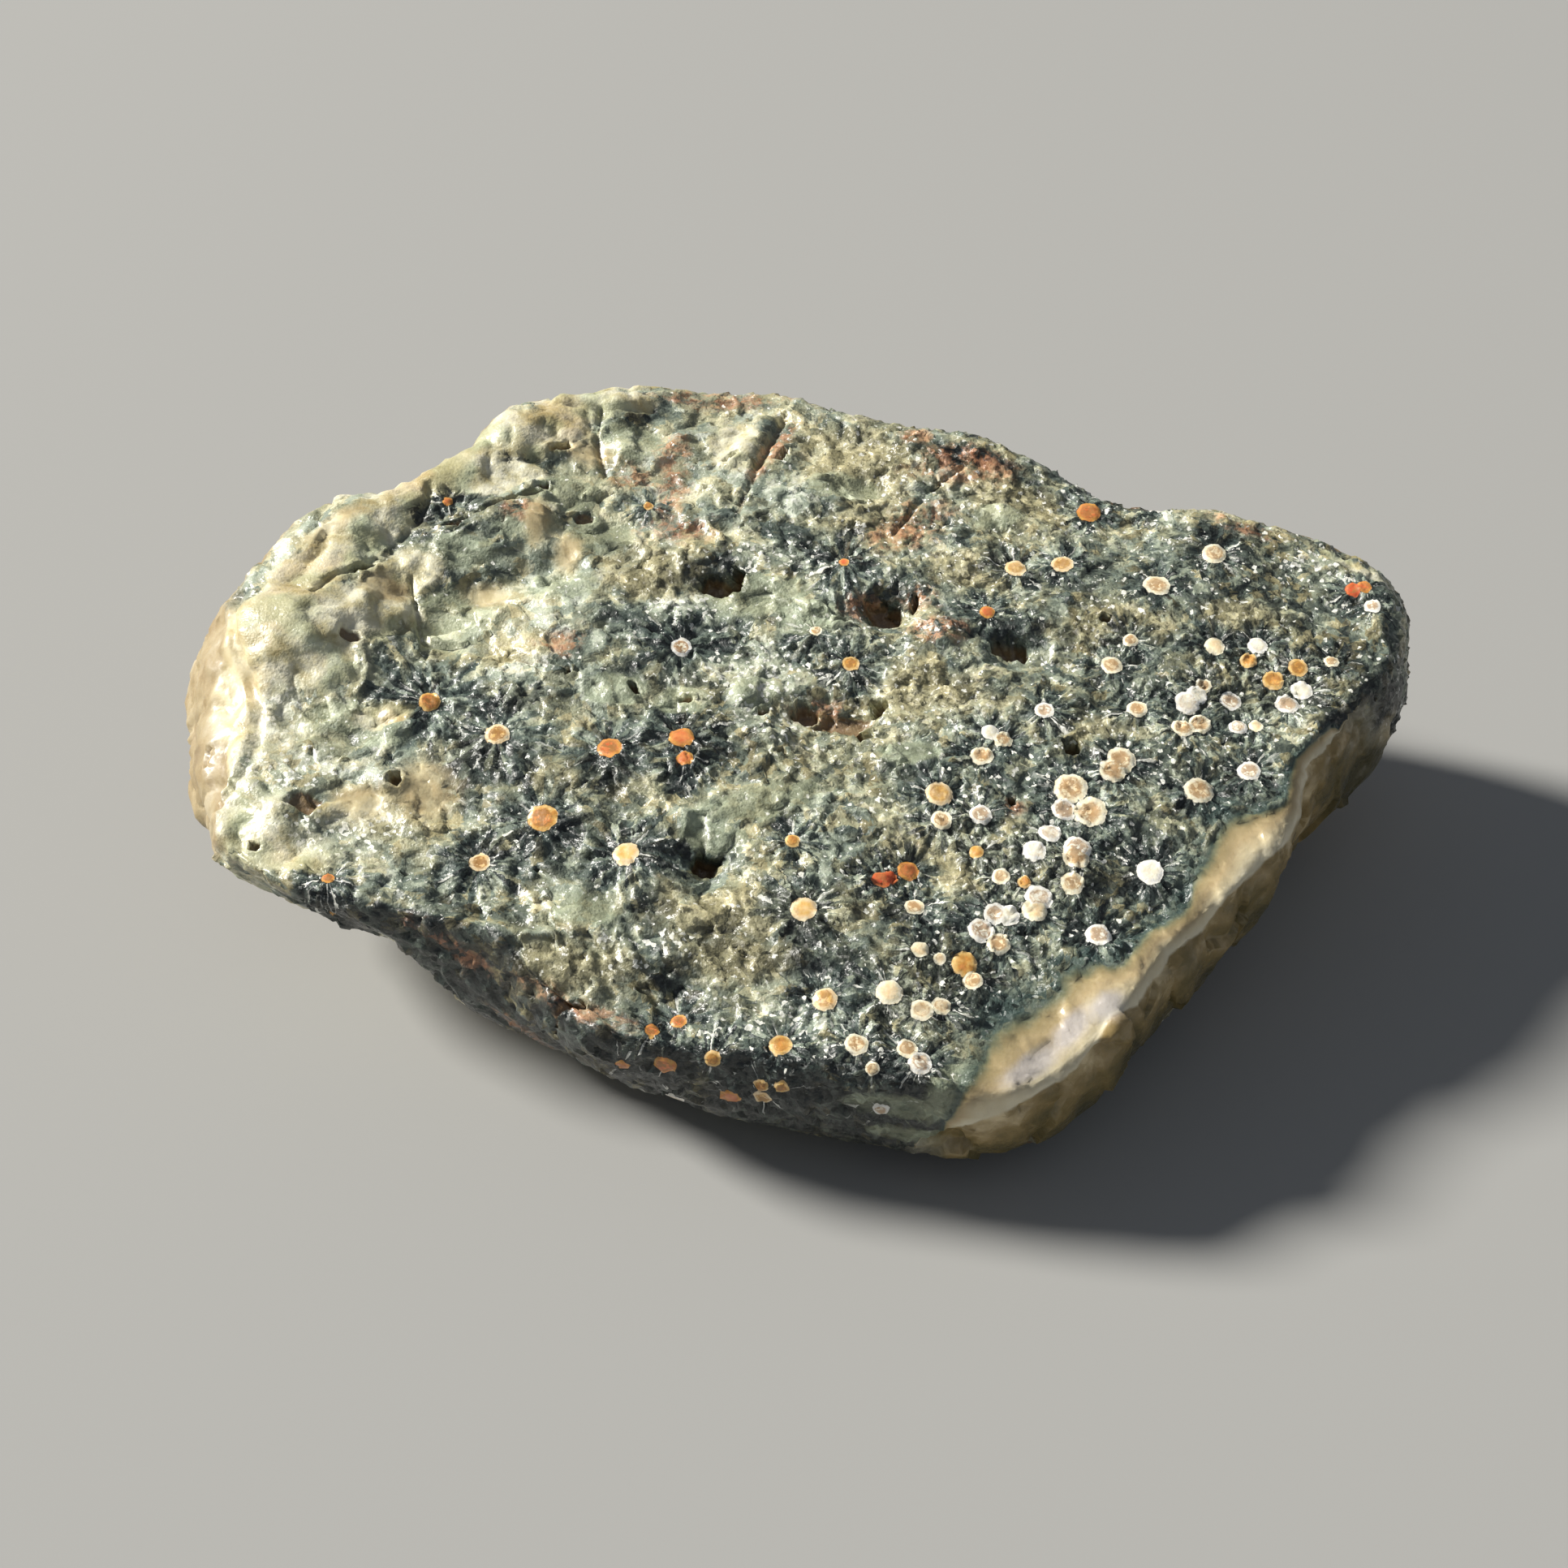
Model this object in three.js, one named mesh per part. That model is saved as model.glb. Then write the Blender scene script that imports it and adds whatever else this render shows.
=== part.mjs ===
// Rough ocean jasper: one natural slab of orb-filled jasper with a weathered rind along its left
// end and fresh broken walls elsewhere, lying on a flat patch of its own underside.
//
// Millimetres, +Z up. +X runs along the slab to its blunt end, +Y across it to its thick edge.
// The origin is on the resting plane, below the middle of the stone's bounding box.
//
// The skin is one closed surface around four rings: the rim where the top face turns down, the
// belt where the walls are widest, and the edge of the flat patch underneath. A sphere of small
// triangles is laid over the section through these rings at every azimuth, then worn and chipped.

import * as THREE from 'three';
import { ImprovedNoise } from 'three/addons/math/ImprovedNoise.js';
import { mergeVertices } from 'three/addons/utils/BufferGeometryUtils.js';

const NODE_NAME = 'jasper_stone';
const STONE_COLOUR = 0x86876b;
const STONE_ROUGHNESS = 0.6;

const SPHERE_DETAIL = 19;       // 20 * (detail + 1)^2 triangles
const SPREAD_X = 40;            // half length and half width that even out the triangle sizes
const SPREAD_Y = 27;

const TOP_MIDDLE_HEIGHT = 17.1; // height of the tilted top face above the middle of the stone
const SHOULDER = 0.88;          // where the top face starts to round over, as a share of the rim
const CROWN = 0.3;              // how far the shoulder stands above a straight line to the rim
const UNDERSIDE_INSET = 0.9;    // point of the flat patch that keeps its edge crisp
const RING_SAMPLES = 720;

// Shares of the sphere, measured from its upper pole, that go to each stretch of the section.
const TOP_SHARE = 0.5;
const WALL_SHARE = 0.14;
const UNDERSIDE_SHARE = 0.13;

// The rim of the top face, anticlockwise from the blunt end: x, y, z.
const RIM = [
  [39.8, 6.5, 18.7], [38.8, 9.7, 19.5], [36.2, 12.3, 20.1], [29.3, 14.1, 20.6],
  [22.9, 15.8, 21.0], [17.0, 19.2, 21.8], [12.3, 21.3, 22.4], [3.4, 24.1, 23.1],
  [-1.5, 26.3, 23.6], [-10.8, 25.8, 23.5], [-14.0, 24.4, 23.2], [-16.8, 25.0, 23.3],
  [-20.2, 20.8, 22.2], [-23.9, 17.6, 21.5], [-26.2, 15.3, 20.9], [-30.5, 14.1, 20.5],
  [-34.3, 9.8, 19.4],
  [-35.2, 4.0, 18.0], [-34.4, -3.4, 16.2], [-34.6, -10.0, 14.6], [-31.5, -13.7, 13.7],
  [-27.1, -15.4, 13.2], [-20.9, -17.2, 12.8], [-17.0, -18.4, 12.5], [-14.8, -20.9, 11.9],
  [-10.2, -24.4, 11.0], [-4.6, -25.6, 10.7], [5.9, -27.3, 10.3], [10.0, -28.2, 10.1],
  [14.0, -28.0, 10.1], [17.3, -25.5, 10.7], [20.5, -21.8, 11.7], [23.1, -18.5, 12.5],
  [28.9, -13.5, 13.7], [30.8, -10.0, 14.5], [32.1, -5.5, 15.7], [34.1, -3.1, 16.3],
  [38.1, 0.7, 17.2],
];

// The widest line of the walls, in the same order.
const BELT = [
  [42.6, 12.0, 12.5], [40.5, 17.0, 11.0], [34.0, 19.5, 10.0], [27.0, 21.5, 9.5],
  [19.0, 24.5, 9.0], [11.0, 27.0, 9.0], [2.0, 29.0, 9.5], [-8.0, 30.0, 10.0],
  [-17.0, 29.0, 10.0], [-24.5, 25.0, 10.5], [-31.5, 19.5, 11.0], [-36.3, 14.2, 12.5],
  [-39.3, 10.0, 11.5], [-39.1, 5.0, 10.8], [-38.3, 0.1, 10.0], [-36.9, -5.4, 10.0],
  [-33.7, -10.2, 10.0], [-29.8, -12.6, 10.0], [-25.6, -13.7, 9.2], [-22.2, -13.2, 7.2],
  [-19.6, -15.9, 4.8], [-15.2, -18.8, 4.5], [-11.5, -21.0, 4.5], [-5.5, -23.8, 4.5],
  [-0.9, -24.6, 4.0], [3.6, -25.6, 3.5], [8.4, -26.4, 3.0], [13.5, -26.2, 3.0],
  [16.7, -24.4, 3.5], [21.0, -19.6, 4.5], [24.8, -16.6, 5.0], [28.3, -11.6, 6.0],
  [30.3, -7.6, 7.0], [33.5, -3.5, 7.5], [37.3, 0.3, 8.0], [39.2, 2.4, 8.5],
  [41.2, 5.2, 9.0],
];

// The edge of the flat patch that the stone rests on.
const PATCH = [
  [25, 1, 0], [24, 9, 0], [15, 15, 0], [0, 17.5, 0], [-14, 14, 0], [-19, 1, 0],
  [-15, -8, 0], [-8, -13.5, 0], [0, -17.5, 0], [8.5, -21.5, 0], [14, -17, 0], [21, -8, 0],
];

// Rounded lumps of the rind (positive) and hollows of the face (negative), in millimetres.
const LUMPS = [
  { at: [-32.2, 4.6, 18.2], radius: 4.6, height: 1.7 },    // the big pale knob
  { at: [-30.0, 10.6, 19.8], radius: 3.6, height: 1.0 },
  { at: [-27.4, 14.0, 20.6], radius: 2.6, height: 0.9 },
  { at: [-21.6, 18.0, 21.6], radius: 2.8, height: 0.9 },
  { at: [-17.6, 21.8, 22.6], radius: 3.0, height: 1.1 },
  { at: [-12.0, 25.0, 23.4], radius: 2.6, height: 0.7 },
  { at: [-38.0, 6.0, 13.5], radius: 5.0, height: 0.5 },
  { at: [-36.5, -3.0, 12.5], radius: 4.0, height: 0.5 },
  { at: [-30.5, -8.3, 15.0], radius: 3.4, height: 0.6 },
  { at: [-22.5, 8.5, 19.0], radius: 5.0, height: -0.9 },   // glassy hollow behind the knob
  { at: [3.2, -2.8, 16.4], radius: 4.4, height: -0.8 },    // saddle where the pits gather
  { at: [-4.7, -13.5, 13.7], radius: 1.6, height: -1.2 },  // open pits
  { at: [14.6, 2.8, 17.8], radius: 1.7, height: -1.0 },
  { at: [6.6, 5.8, 18.5], radius: 1.9, height: -0.9 },
  { at: [-4.2, 8.0, 19.1], radius: 1.6, height: -0.9 },
  { at: [-7.7, -22.1, 11.6], radius: 4.5, height: -0.7 },  // shoulder worn off the near edge
  { at: [15.2, -24.6, 10.9], radius: 3.6, height: -0.5 },  // shell-shaped chip at the corner
];

// Flat breaks on the far walls and underneath: the skin is pressed back to each plane.
const BREAKS = [
  { normal: [0.36, 0.9, 0.24], offset: 29.8 },             // far right
  { normal: [-0.5, 0.85, 0.15], offset: 33.6 },            // far left
  { normal: [0.05, 0.75, -0.66], offset: 15.2 },           // undercut along the far side
  { normal: [-0.55, -0.1, -0.83], offset: 12.8 },          // undercut at the rind end
];
const BREAK_HARDNESS = 0.85;    // 1 would be a perfectly flat break

// Waves and grain of the skin, coarse to fine: wavelength and height in millimetres.
const WEAR = [
  { wavelength: 11, height: 0.55, seed: 3.1 },
  { wavelength: 5, height: 0.38, seed: 17.7 },
  { wavelength: 2.4, height: 0.2, seed: 41.3 },
];

// Scallops along the near right wall, between two azimuths in degrees.
const SCALLOPS = { from: -60, to: -8, count: 7, depth: 0.7 };

const RESTING_SKIN = 0.02;      // anything lower than this is part of the flat patch
const WEAR_FADE_HEIGHT = 3;     // wear fades out over this height above the flat patch

const fullTurn = 2 * Math.PI;
const noise = new ImprovedNoise();

/** A closed smooth ring that gives its radius and height at any azimuth. */
class Ring {
  constructor(stations) {
    const points = stations.map((station) => new THREE.Vector3(...station));
    const curve = new THREE.CatmullRomCurve3(points, true, 'centripetal');
    this.samples = curve
      .getPoints(RING_SAMPLES)
      .map((p) => ({ azimuth: Math.atan2(p.y, p.x), radius: Math.hypot(p.x, p.y), height: p.z }))
      .sort((a, b) => a.azimuth - b.azimuth);
  }

  at(azimuth) {
    const next = this.samples.findIndex((sample) => sample.azimuth >= azimuth);
    const last = this.samples.length - 1;
    const before = { ...this.samples[next > 0 ? next - 1 : last] };
    const after = { ...this.samples[next >= 0 ? next : 0] };
    if (next === 0) before.azimuth -= fullTurn;
    if (next < 0) after.azimuth += fullTurn;
    const span = after.azimuth - before.azimuth;
    const share = span > 0 ? (azimuth - before.azimuth) / span : 0;
    return new THREE.Vector2(
      THREE.MathUtils.lerp(before.radius, after.radius, share),
      THREE.MathUtils.lerp(before.height, after.height, share),
    );
  }
}

const rim = new Ring(RIM);
const belt = new Ring(BELT);
const patch = new Ring(PATCH);

/** A point of the top face on the straight line from its middle to the rim. */
function topPoint(rimPoint, share) {
  const height = THREE.MathUtils.lerp(TOP_MIDDLE_HEIGHT, rimPoint.y, share);
  return new THREE.Vector2(rimPoint.x * share, height + CROWN * Math.sin(Math.PI * share));
}

/** Radius and height of the skin, from the upper pole (share 0) to the middle underneath (1). */
function sectionPoint(azimuth, share) {
  const rimPoint = rim.at(azimuth);
  const shoulderShare = TOP_SHARE * SHOULDER ** 2;
  if (share <= shoulderShare) return topPoint(rimPoint, Math.sqrt(share / TOP_SHARE));

  const beltPoint = belt.at(azimuth);
  const patchPoint = patch.at(azimuth);
  const patchStart = TOP_SHARE + WALL_SHARE + UNDERSIDE_SHARE;
  if (share >= patchStart) {
    const inward = Math.sqrt((1 - share) / (1 - patchStart));
    return new THREE.Vector2(patchPoint.x * inward, 0);
  }

  const corners = [
    topPoint(rimPoint, 2 * SHOULDER - 1),
    topPoint(rimPoint, SHOULDER),
    rimPoint,
    beltPoint,
    patchPoint,
    new THREE.Vector2(patchPoint.x * UNDERSIDE_INSET, 0),
  ].map((corner) => new THREE.Vector3(corner.x, corner.y, 0));
  const turn = new THREE.CatmullRomCurve3(corners, false, 'centripetal');
  const stretches = [
    [shoulderShare, TOP_SHARE],
    [TOP_SHARE, TOP_SHARE + WALL_SHARE],
    [TOP_SHARE + WALL_SHARE, patchStart],
  ];
  const index = stretches.findIndex(([, end]) => share <= end);
  const [start, end] = stretches[index];
  const along = 1 + index + (share - start) / (end - start);
  return turn.getPoint(along / (corners.length - 1));
}

/** Lays a unit direction on the section at its azimuth. */
function layOnStone(direction) {
  const share = (1 - direction.z) / 2;
  const azimuth = Math.atan2(direction.y * SPREAD_Y, direction.x * SPREAD_X);
  const { x: radius, y: height } = sectionPoint(azimuth, share);
  const outward = new THREE.Vector2(Math.cos(azimuth), Math.sin(azimuth)).multiplyScalar(radius);
  const point = new THREE.Vector3(outward.x, outward.y, Math.max(height, 0));
  return point.z > RESTING_SKIN ? breakOff(point) : point;
}

/** Presses a point back to every break plane that it stands beyond. */
function breakOff(point) {
  for (const { normal, offset } of BREAKS) {
    const direction = new THREE.Vector3(...normal).normalize();
    const beyond = Math.max(point.dot(direction) - offset, 0);
    point.addScaledVector(direction, -BREAK_HARDNESS * beyond);
  }
  return point;
}

/** How far the skin moves out of its smooth shape at a point. */
function wearAt(point) {
  let height = 0;
  for (const lump of LUMPS) {
    const distance = point.distanceTo(new THREE.Vector3(...lump.at));
    height += lump.height * Math.exp(-((distance / lump.radius) ** 2));
  }
  for (const wave of WEAR) {
    const p = point.clone().divideScalar(wave.wavelength).addScalar(wave.seed);
    height += wave.height * noise.noise(p.x, p.y, p.z);
  }
  return height + scallopAt(point);
}

/** Shell-shaped scallops, deepest half way down the wall. */
function scallopAt(point) {
  const azimuth = THREE.MathUtils.radToDeg(Math.atan2(point.y, point.x));
  const along = (azimuth - SCALLOPS.from) / (SCALLOPS.to - SCALLOPS.from);
  if (along <= 0 || along >= 1) return 0;
  const radius = Math.hypot(point.x, point.y);
  const rimRadius = rim.at(THREE.MathUtils.degToRad(azimuth)).x;
  const nearWall = THREE.MathUtils.smoothstep(radius, 0.86 * rimRadius, rimRadius);
  const scoop = Math.abs(Math.sin(Math.PI * along * SCALLOPS.count));
  return -SCALLOPS.depth * scoop * nearWall * Math.sin(Math.PI * along);
}

/** The stone's closed skin, with its origin under the middle of its bounding box. */
function stoneGeometry() {
  const sphere = new THREE.IcosahedronGeometry(1, SPHERE_DETAIL);
  sphere.deleteAttribute('normal');
  sphere.deleteAttribute('uv');
  const skin = mergeVertices(sphere);
  const places = skin.getAttribute('position');
  const point = new THREE.Vector3();

  for (let i = 0; i < places.count; i += 1) {
    point.fromBufferAttribute(places, i).normalize();
    places.setXYZ(i, ...layOnStone(point).toArray());
  }

  skin.computeVertexNormals();
  const normals = skin.getAttribute('normal').clone();
  const normal = new THREE.Vector3();
  for (let i = 0; i < places.count; i += 1) {
    point.fromBufferAttribute(places, i);
    if (point.z <= RESTING_SKIN) continue;
    normal.fromBufferAttribute(normals, i);
    const fade = THREE.MathUtils.smoothstep(point.z, 0, WEAR_FADE_HEIGHT);
    point.addScaledVector(normal, fade * wearAt(point));
    places.setXYZ(i, point.x, point.y, Math.max(point.z, RESTING_SKIN));
  }

  skin.computeBoundingBox();
  const box = skin.boundingBox;
  skin.translate(-(box.min.x + box.max.x) / 2, -(box.min.y + box.max.y) / 2, -box.min.z);
  skin.computeVertexNormals();
  return skin;
}

const stoneMaterial = new THREE.MeshStandardMaterial({
  color: STONE_COLOUR,
  roughness: STONE_ROUGHNESS,
  metalness: 0,
  flatShading: true,
});

const stone = new THREE.Mesh(stoneGeometry(), stoneMaterial);
stone.name = NODE_NAME;

const jasper = new THREE.Group();
jasper.add(stone);

export default jasper;
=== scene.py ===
"""Rough ocean jasper: the looks of one natural stone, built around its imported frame.

The stone is one solid. Its fine skin is grown from the plain frame solid: it is subdivided, pushed
in and out by the relief of the rind, the crystal grain, the glassy chips, the pits and the cracks,
and thinned to a budget of triangles. Fields stored on the skin say which mineral lies where, and
one material turns them into rind, glass, crystal ground, rust and orbs.

Lengths are in millimetres until a mesh, a lamp or the camera is made; those are in metres.
"""
import logging
import math
from dataclasses import dataclass
from enum import Enum
from typing import TypeVar, Union

import bmesh
import bpy
import numpy as np
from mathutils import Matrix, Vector
from mathutils.bvhtree import BVHTree
from mathutils.kdtree import KDTree


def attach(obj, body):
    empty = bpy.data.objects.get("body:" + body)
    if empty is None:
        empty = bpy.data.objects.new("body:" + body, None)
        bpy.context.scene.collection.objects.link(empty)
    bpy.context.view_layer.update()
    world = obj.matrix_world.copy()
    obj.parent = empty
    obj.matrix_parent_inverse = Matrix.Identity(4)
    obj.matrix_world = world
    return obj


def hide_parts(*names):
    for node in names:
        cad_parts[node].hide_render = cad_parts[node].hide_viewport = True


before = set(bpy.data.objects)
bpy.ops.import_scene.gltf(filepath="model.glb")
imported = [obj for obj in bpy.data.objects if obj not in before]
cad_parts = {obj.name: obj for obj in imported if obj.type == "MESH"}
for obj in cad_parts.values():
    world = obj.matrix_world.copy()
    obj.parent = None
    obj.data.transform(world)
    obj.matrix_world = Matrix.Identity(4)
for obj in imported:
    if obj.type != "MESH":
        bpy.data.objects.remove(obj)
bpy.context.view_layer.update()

log = logging.getLogger("jasper")

METRES_PER_MM = 0.001
NODE_NAME = "jasper_stone"
PIECE_NAME = "jasper_skin"

Array = np.ndarray
Record = TypeVar("Record")
Number = Union[float, "Wire"]
Triple = tuple[float, float, float]
Step = tuple[float, float]

ACROSS = np.array([1.0, 0.0, 0.0])
AWAY = np.array([0.0, 1.0, 0.0])
RIGHT_ANGLE_DEG = 90.0
FAR = 1e6


# ---- The camera, and places given as seen through it ----


@dataclass
class Viewpoint:
    """The camera: it looks along +Y and down on the stone.

    Attributes:
        pitch_deg: How far it looks down.
        distance_mm: From the lens to the point it aims at.
        aim_mm: The point it aims at.
        lens_mm: Focal length.
        sensor_mm: Width of the sensor.
        frame_px: Width and height of the picture that places are given in.
        nearest_mm: Nothing nearer to the lens than this is drawn.
    """

    pitch_deg: float = 40.0
    distance_mm: float = 143.0
    aim_mm: Triple = (-1.47, -1.0, 9.0)
    lens_mm: float = 50.0
    sensor_mm: float = 36.0
    frame_px: int = 1932
    nearest_mm: float = 10.0

    @property
    def backward(self) -> Array:
        """Unit vector from the aim to the lens."""
        pitch = math.radians(self.pitch_deg)
        return np.array([0.0, -math.cos(pitch), math.sin(pitch)])

    @property
    def eye(self) -> Array:
        """The lens, in millimetres."""
        return np.array(self.aim_mm) + self.backward * self.distance_mm

    @property
    def upward(self) -> Array:
        """Unit vector that points up in the picture."""
        return np.cross(ACROSS, -self.backward)

    @property
    def focal_px(self) -> float:
        """Focal length in pixels of the picture."""
        return self.lens_mm / self.sensor_mm * self.frame_px

    def sight(self, right: float, down: float) -> Array:
        """The unit direction in which a place of the picture is seen.

        Args:
            right: Pixels from the picture's left edge.
            down: Pixels from its top edge.

        Returns:
            A unit vector that leaves the lens.
        """
        half = self.frame_px / 2
        ray = -self.backward * self.focal_px + ACROSS * (right - half) - self.upward * (down - half)
        return ray / np.linalg.norm(ray)

    def picture(self, points: Array) -> tuple[Array, Array]:
        """Where points are seen in the picture.

        Args:
            points: Rows in millimetres.

        Returns:
            Their places in pixels, and how many pixels a millimetre takes there.
        """
        rays = points - self.eye
        scale = self.focal_px / (rays @ -self.backward)
        half = self.frame_px / 2
        places = np.stack([half + rays @ ACROSS * scale, half - rays @ self.upward * scale], axis=1)
        return places, scale

    def build(self) -> None:
        """Makes the camera and hands it to the scene."""
        data = bpy.data.cameras.new("camera")
        data.lens = self.lens_mm
        data.sensor_width = self.sensor_mm
        data.clip_start = self.nearest_mm * METRES_PER_MM
        camera = bpy.data.objects.new("camera", data)
        camera.location = Vector(self.eye * METRES_PER_MM)
        camera.rotation_euler = (math.radians(RIGHT_ANGLE_DEG - self.pitch_deg), 0, 0)
        bpy.context.scene.collection.objects.link(camera)
        bpy.context.scene.camera = camera


# ---- What lies where on the stone ----


class Zone(Enum):
    """The minerals that cover the ground between the orbs."""

    RIND = "rind"
    GLASS = "glass"
    RUST = "rust"
    HONEY = "honey"
    MOTTLE = "mottle"
    FROST = "frost"
    LAVENDER = "lavender"
    # Dark crystal ground; on the near wall this zone also carries painted shade.
    DARK = "dark"


class OrbLook(Enum):
    """The kinds of orb, with the tint that picks their colour: 0 is white, 1 is rust red."""

    WHITE = 0.04
    CREAM = 0.28
    PEACH = 0.46
    YELLOW = 0.60
    GOLD = 0.68
    ORANGE = 0.78
    RED = 0.97


@dataclass(frozen=True)
class Orb:
    """One orb, by the place in the picture where its middle is seen."""

    right: int
    down: int
    radius_mm: float
    look: OrbLook
    halo_mm: float = 1.5


@dataclass(frozen=True)
class Patch:
    """A soft oval of one mineral, by the place in the picture where its middle is seen.

    The lengths are half its size each way, and its strength is how it holds against the rest.
    """

    right: int
    down: int
    length_mm: float
    width_mm: float
    turn_deg: float = 0.0
    strength: float = 1.0


@dataclass(frozen=True)
class Swell:
    """A broad rise of the ground by the place of its middle. A rise below 0 is a hollow."""

    right: int
    down: int
    length_mm: float
    width_mm: float
    rise_mm: float
    turn_deg: float = 0.0


@dataclass(frozen=True)
class BandStation:
    """One place on the crest of the pale band, and how far the band reaches inward there."""

    right: int
    down: int
    width_mm: float


@dataclass(frozen=True)
class Pit:
    """An open pit. Its floor leans sideways under the lip by lean_mm."""

    right: int
    down: int
    length_mm: float
    width_mm: float
    depth_mm: float
    turn_deg: float = 0.0
    lean_mm: float = 0.0


@dataclass(frozen=True)
class Crack:
    """A narrow open crack along a few places of the picture."""

    course: tuple[tuple[int, int], ...]
    width_mm: float
    depth_mm: float


def rows(kind: type[Record], *values: tuple) -> tuple[Record, ...]:
    """Makes one record of a kind from each row of values.

    Args:
        kind: What to make.
        values: Its fields, in order.

    Returns:
        The records, in the order of the rows.
    """
    return tuple(kind(*row) for row in values)


WHITE, CREAM, PEACH = OrbLook.WHITE, OrbLook.CREAM, OrbLook.PEACH
YELLOW, GOLD, ORANGE, RED = OrbLook.YELLOW, OrbLook.GOLD, OrbLook.ORANGE, OrbLook.RED

ORBS = rows(
    Orb,  # right, down, radius_mm, look, halo_mm
    # the sprays of the left half
    (529, 865, 0.62, GOLD, 4.4), (613, 906, 0.72, PEACH, 3.3), (750, 920, 0.72, ORANGE, 2.4),
    (839, 907, 0.74, ORANGE, 2.4), (844, 932, 0.50, ORANGE, 2), (840, 795, 0.62, WHITE, 2.9),
    (668, 1007, 0.86, GOLD, 2.4), (771, 1051, 0.76, PEACH, 2.6), (591, 1063, 0.60, PEACH, 2.2),
    (404, 1083, 0.36, ORANGE, 1.8), (552, 621, 0.32, ORANGE, 1), (799, 623, 0.32, YELLOW, 1.4),
    (990, 1120, 0.74, PEACH, 2.4), (976, 1035, 0.42, YELLOW, 1.6),
    # the far right
    (1341, 629, 0.76, ORANGE), (1251, 699, 0.66, PEACH), (1309, 694, 0.68, PEACH),
    (1217, 751, 0.46, ORANGE), (1425, 722, 0.88, CREAM), (1496, 683, 0.72, CREAM),
    (1040, 696, 0.34, ORANGE, 2.6), (1005, 779, 0.36, CREAM, 2.4), (1048, 818, 0.52, YELLOW, 2),
    (1370, 817, 0.66, CREAM), (1401, 873, 0.62, CREAM), (1286, 876, 0.58, WHITE),
    (1220, 902, 0.50, WHITE), (1236, 912, 0.54, CREAM), (1210, 932, 0.68, CREAM),
    (1496, 797, 0.58, CREAM), (1549, 796, 0.60, WHITE), (1538, 815, 0.50, YELLOW),
    (1599, 823, 0.60, YELLOW), (1569, 838, 0.62, YELLOW), (1641, 814, 0.46, CREAM),
    (1604, 850, 0.64, WHITE), (1586, 869, 0.70, WHITE), (1463, 866, 0.80, WHITE),
    (1474, 858, 0.66, WHITE), (1482, 846, 0.50, CREAM), (1457, 898, 0.66, CREAM),
    (1478, 892, 0.68, CREAM), (1515, 865, 0.66, WHITE), (1525, 896, 0.54, WHITE),
    (1547, 896, 0.42, CREAM), (1539, 951, 0.66, WHITE), (1476, 976, 0.88, CREAM),
    (1380, 939, 0.84, CREAM), (1369, 952, 0.80, CREAM), (1320, 972, 0.94, CREAM),
    (1311, 998, 0.72, WHITE), (1343, 1001, 0.98, CREAM), (1293, 1028, 0.66, WHITE),
    (1275, 1049, 0.66, WHITE), (1328, 1044, 0.80, WHITE), (1325, 1056, 0.78, CREAM),
    (1418, 1072, 0.76, WHITE), (1321, 1088, 0.70, CREAM), (1280, 1106, 0.78, WHITE),
    (1275, 1121, 0.72, CREAM), (1233, 1080, 0.50, CREAM), (1262, 1087, 0.36, YELLOW),
    (1226, 1126, 0.68, WHITE), (1242, 1128, 0.66, WHITE), (1209, 1147, 0.74, WHITE),
    (1230, 1163, 0.64, CREAM), (1354, 1151, 0.70, WHITE), (1188, 1187, 0.68, YELLOW),
    (1199, 1208, 0.52, CREAM), (1133, 1171, 0.50, CREAM), (1158, 1181, 0.36, CREAM),
    (1126, 1119, 0.56, CREAM), (1118, 1072, 0.60, ORANGE), (1086, 1084, 0.56, RED),
    (1096, 1081, 0.48, RED), (1203, 1049, 0.40, YELLOW), (1157, 979, 0.78, PEACH),
    (1160, 1010, 0.60, CREAM), (1207, 1005, 0.62, WHITE), (1096, 1222, 0.70, CREAM),
    (1016, 1230, 0.66, PEACH), (1136, 1244, 0.64, CREAM), (1160, 1238, 0.54, CREAM),
    (1055, 1285, 0.66, CREAM), (1118, 1292, 0.54, CREAM), (1134, 1308, 0.64, WHITE),
    (1075, 1317, 0.36, CREAM), (1393, 787, 0.44, CREAM), (962, 1286, 0.60, YELLOW),
    (836, 1260, 0.46, ORANGE), (803, 1271, 0.40, ORANGE), (1668, 726, 0.52, RED),
    (1680, 724, 0.46, ORANGE), (1691, 748, 0.54, WHITE),
    # the near wall
    (820, 1310, 0.62, ORANGE), (901, 1349, 0.58, ORANGE), (940, 1349, 0.50, PEACH),
    (938, 1336, 0.42, YELLOW), (964, 1338, 0.44, YELLOW), (878, 1304, 0.46, YELLOW),
    (831, 1352, 0.52, WHITE), (1085, 1366, 0.44, WHITE), (768, 1309, 0.40, ORANGE),
)

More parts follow.
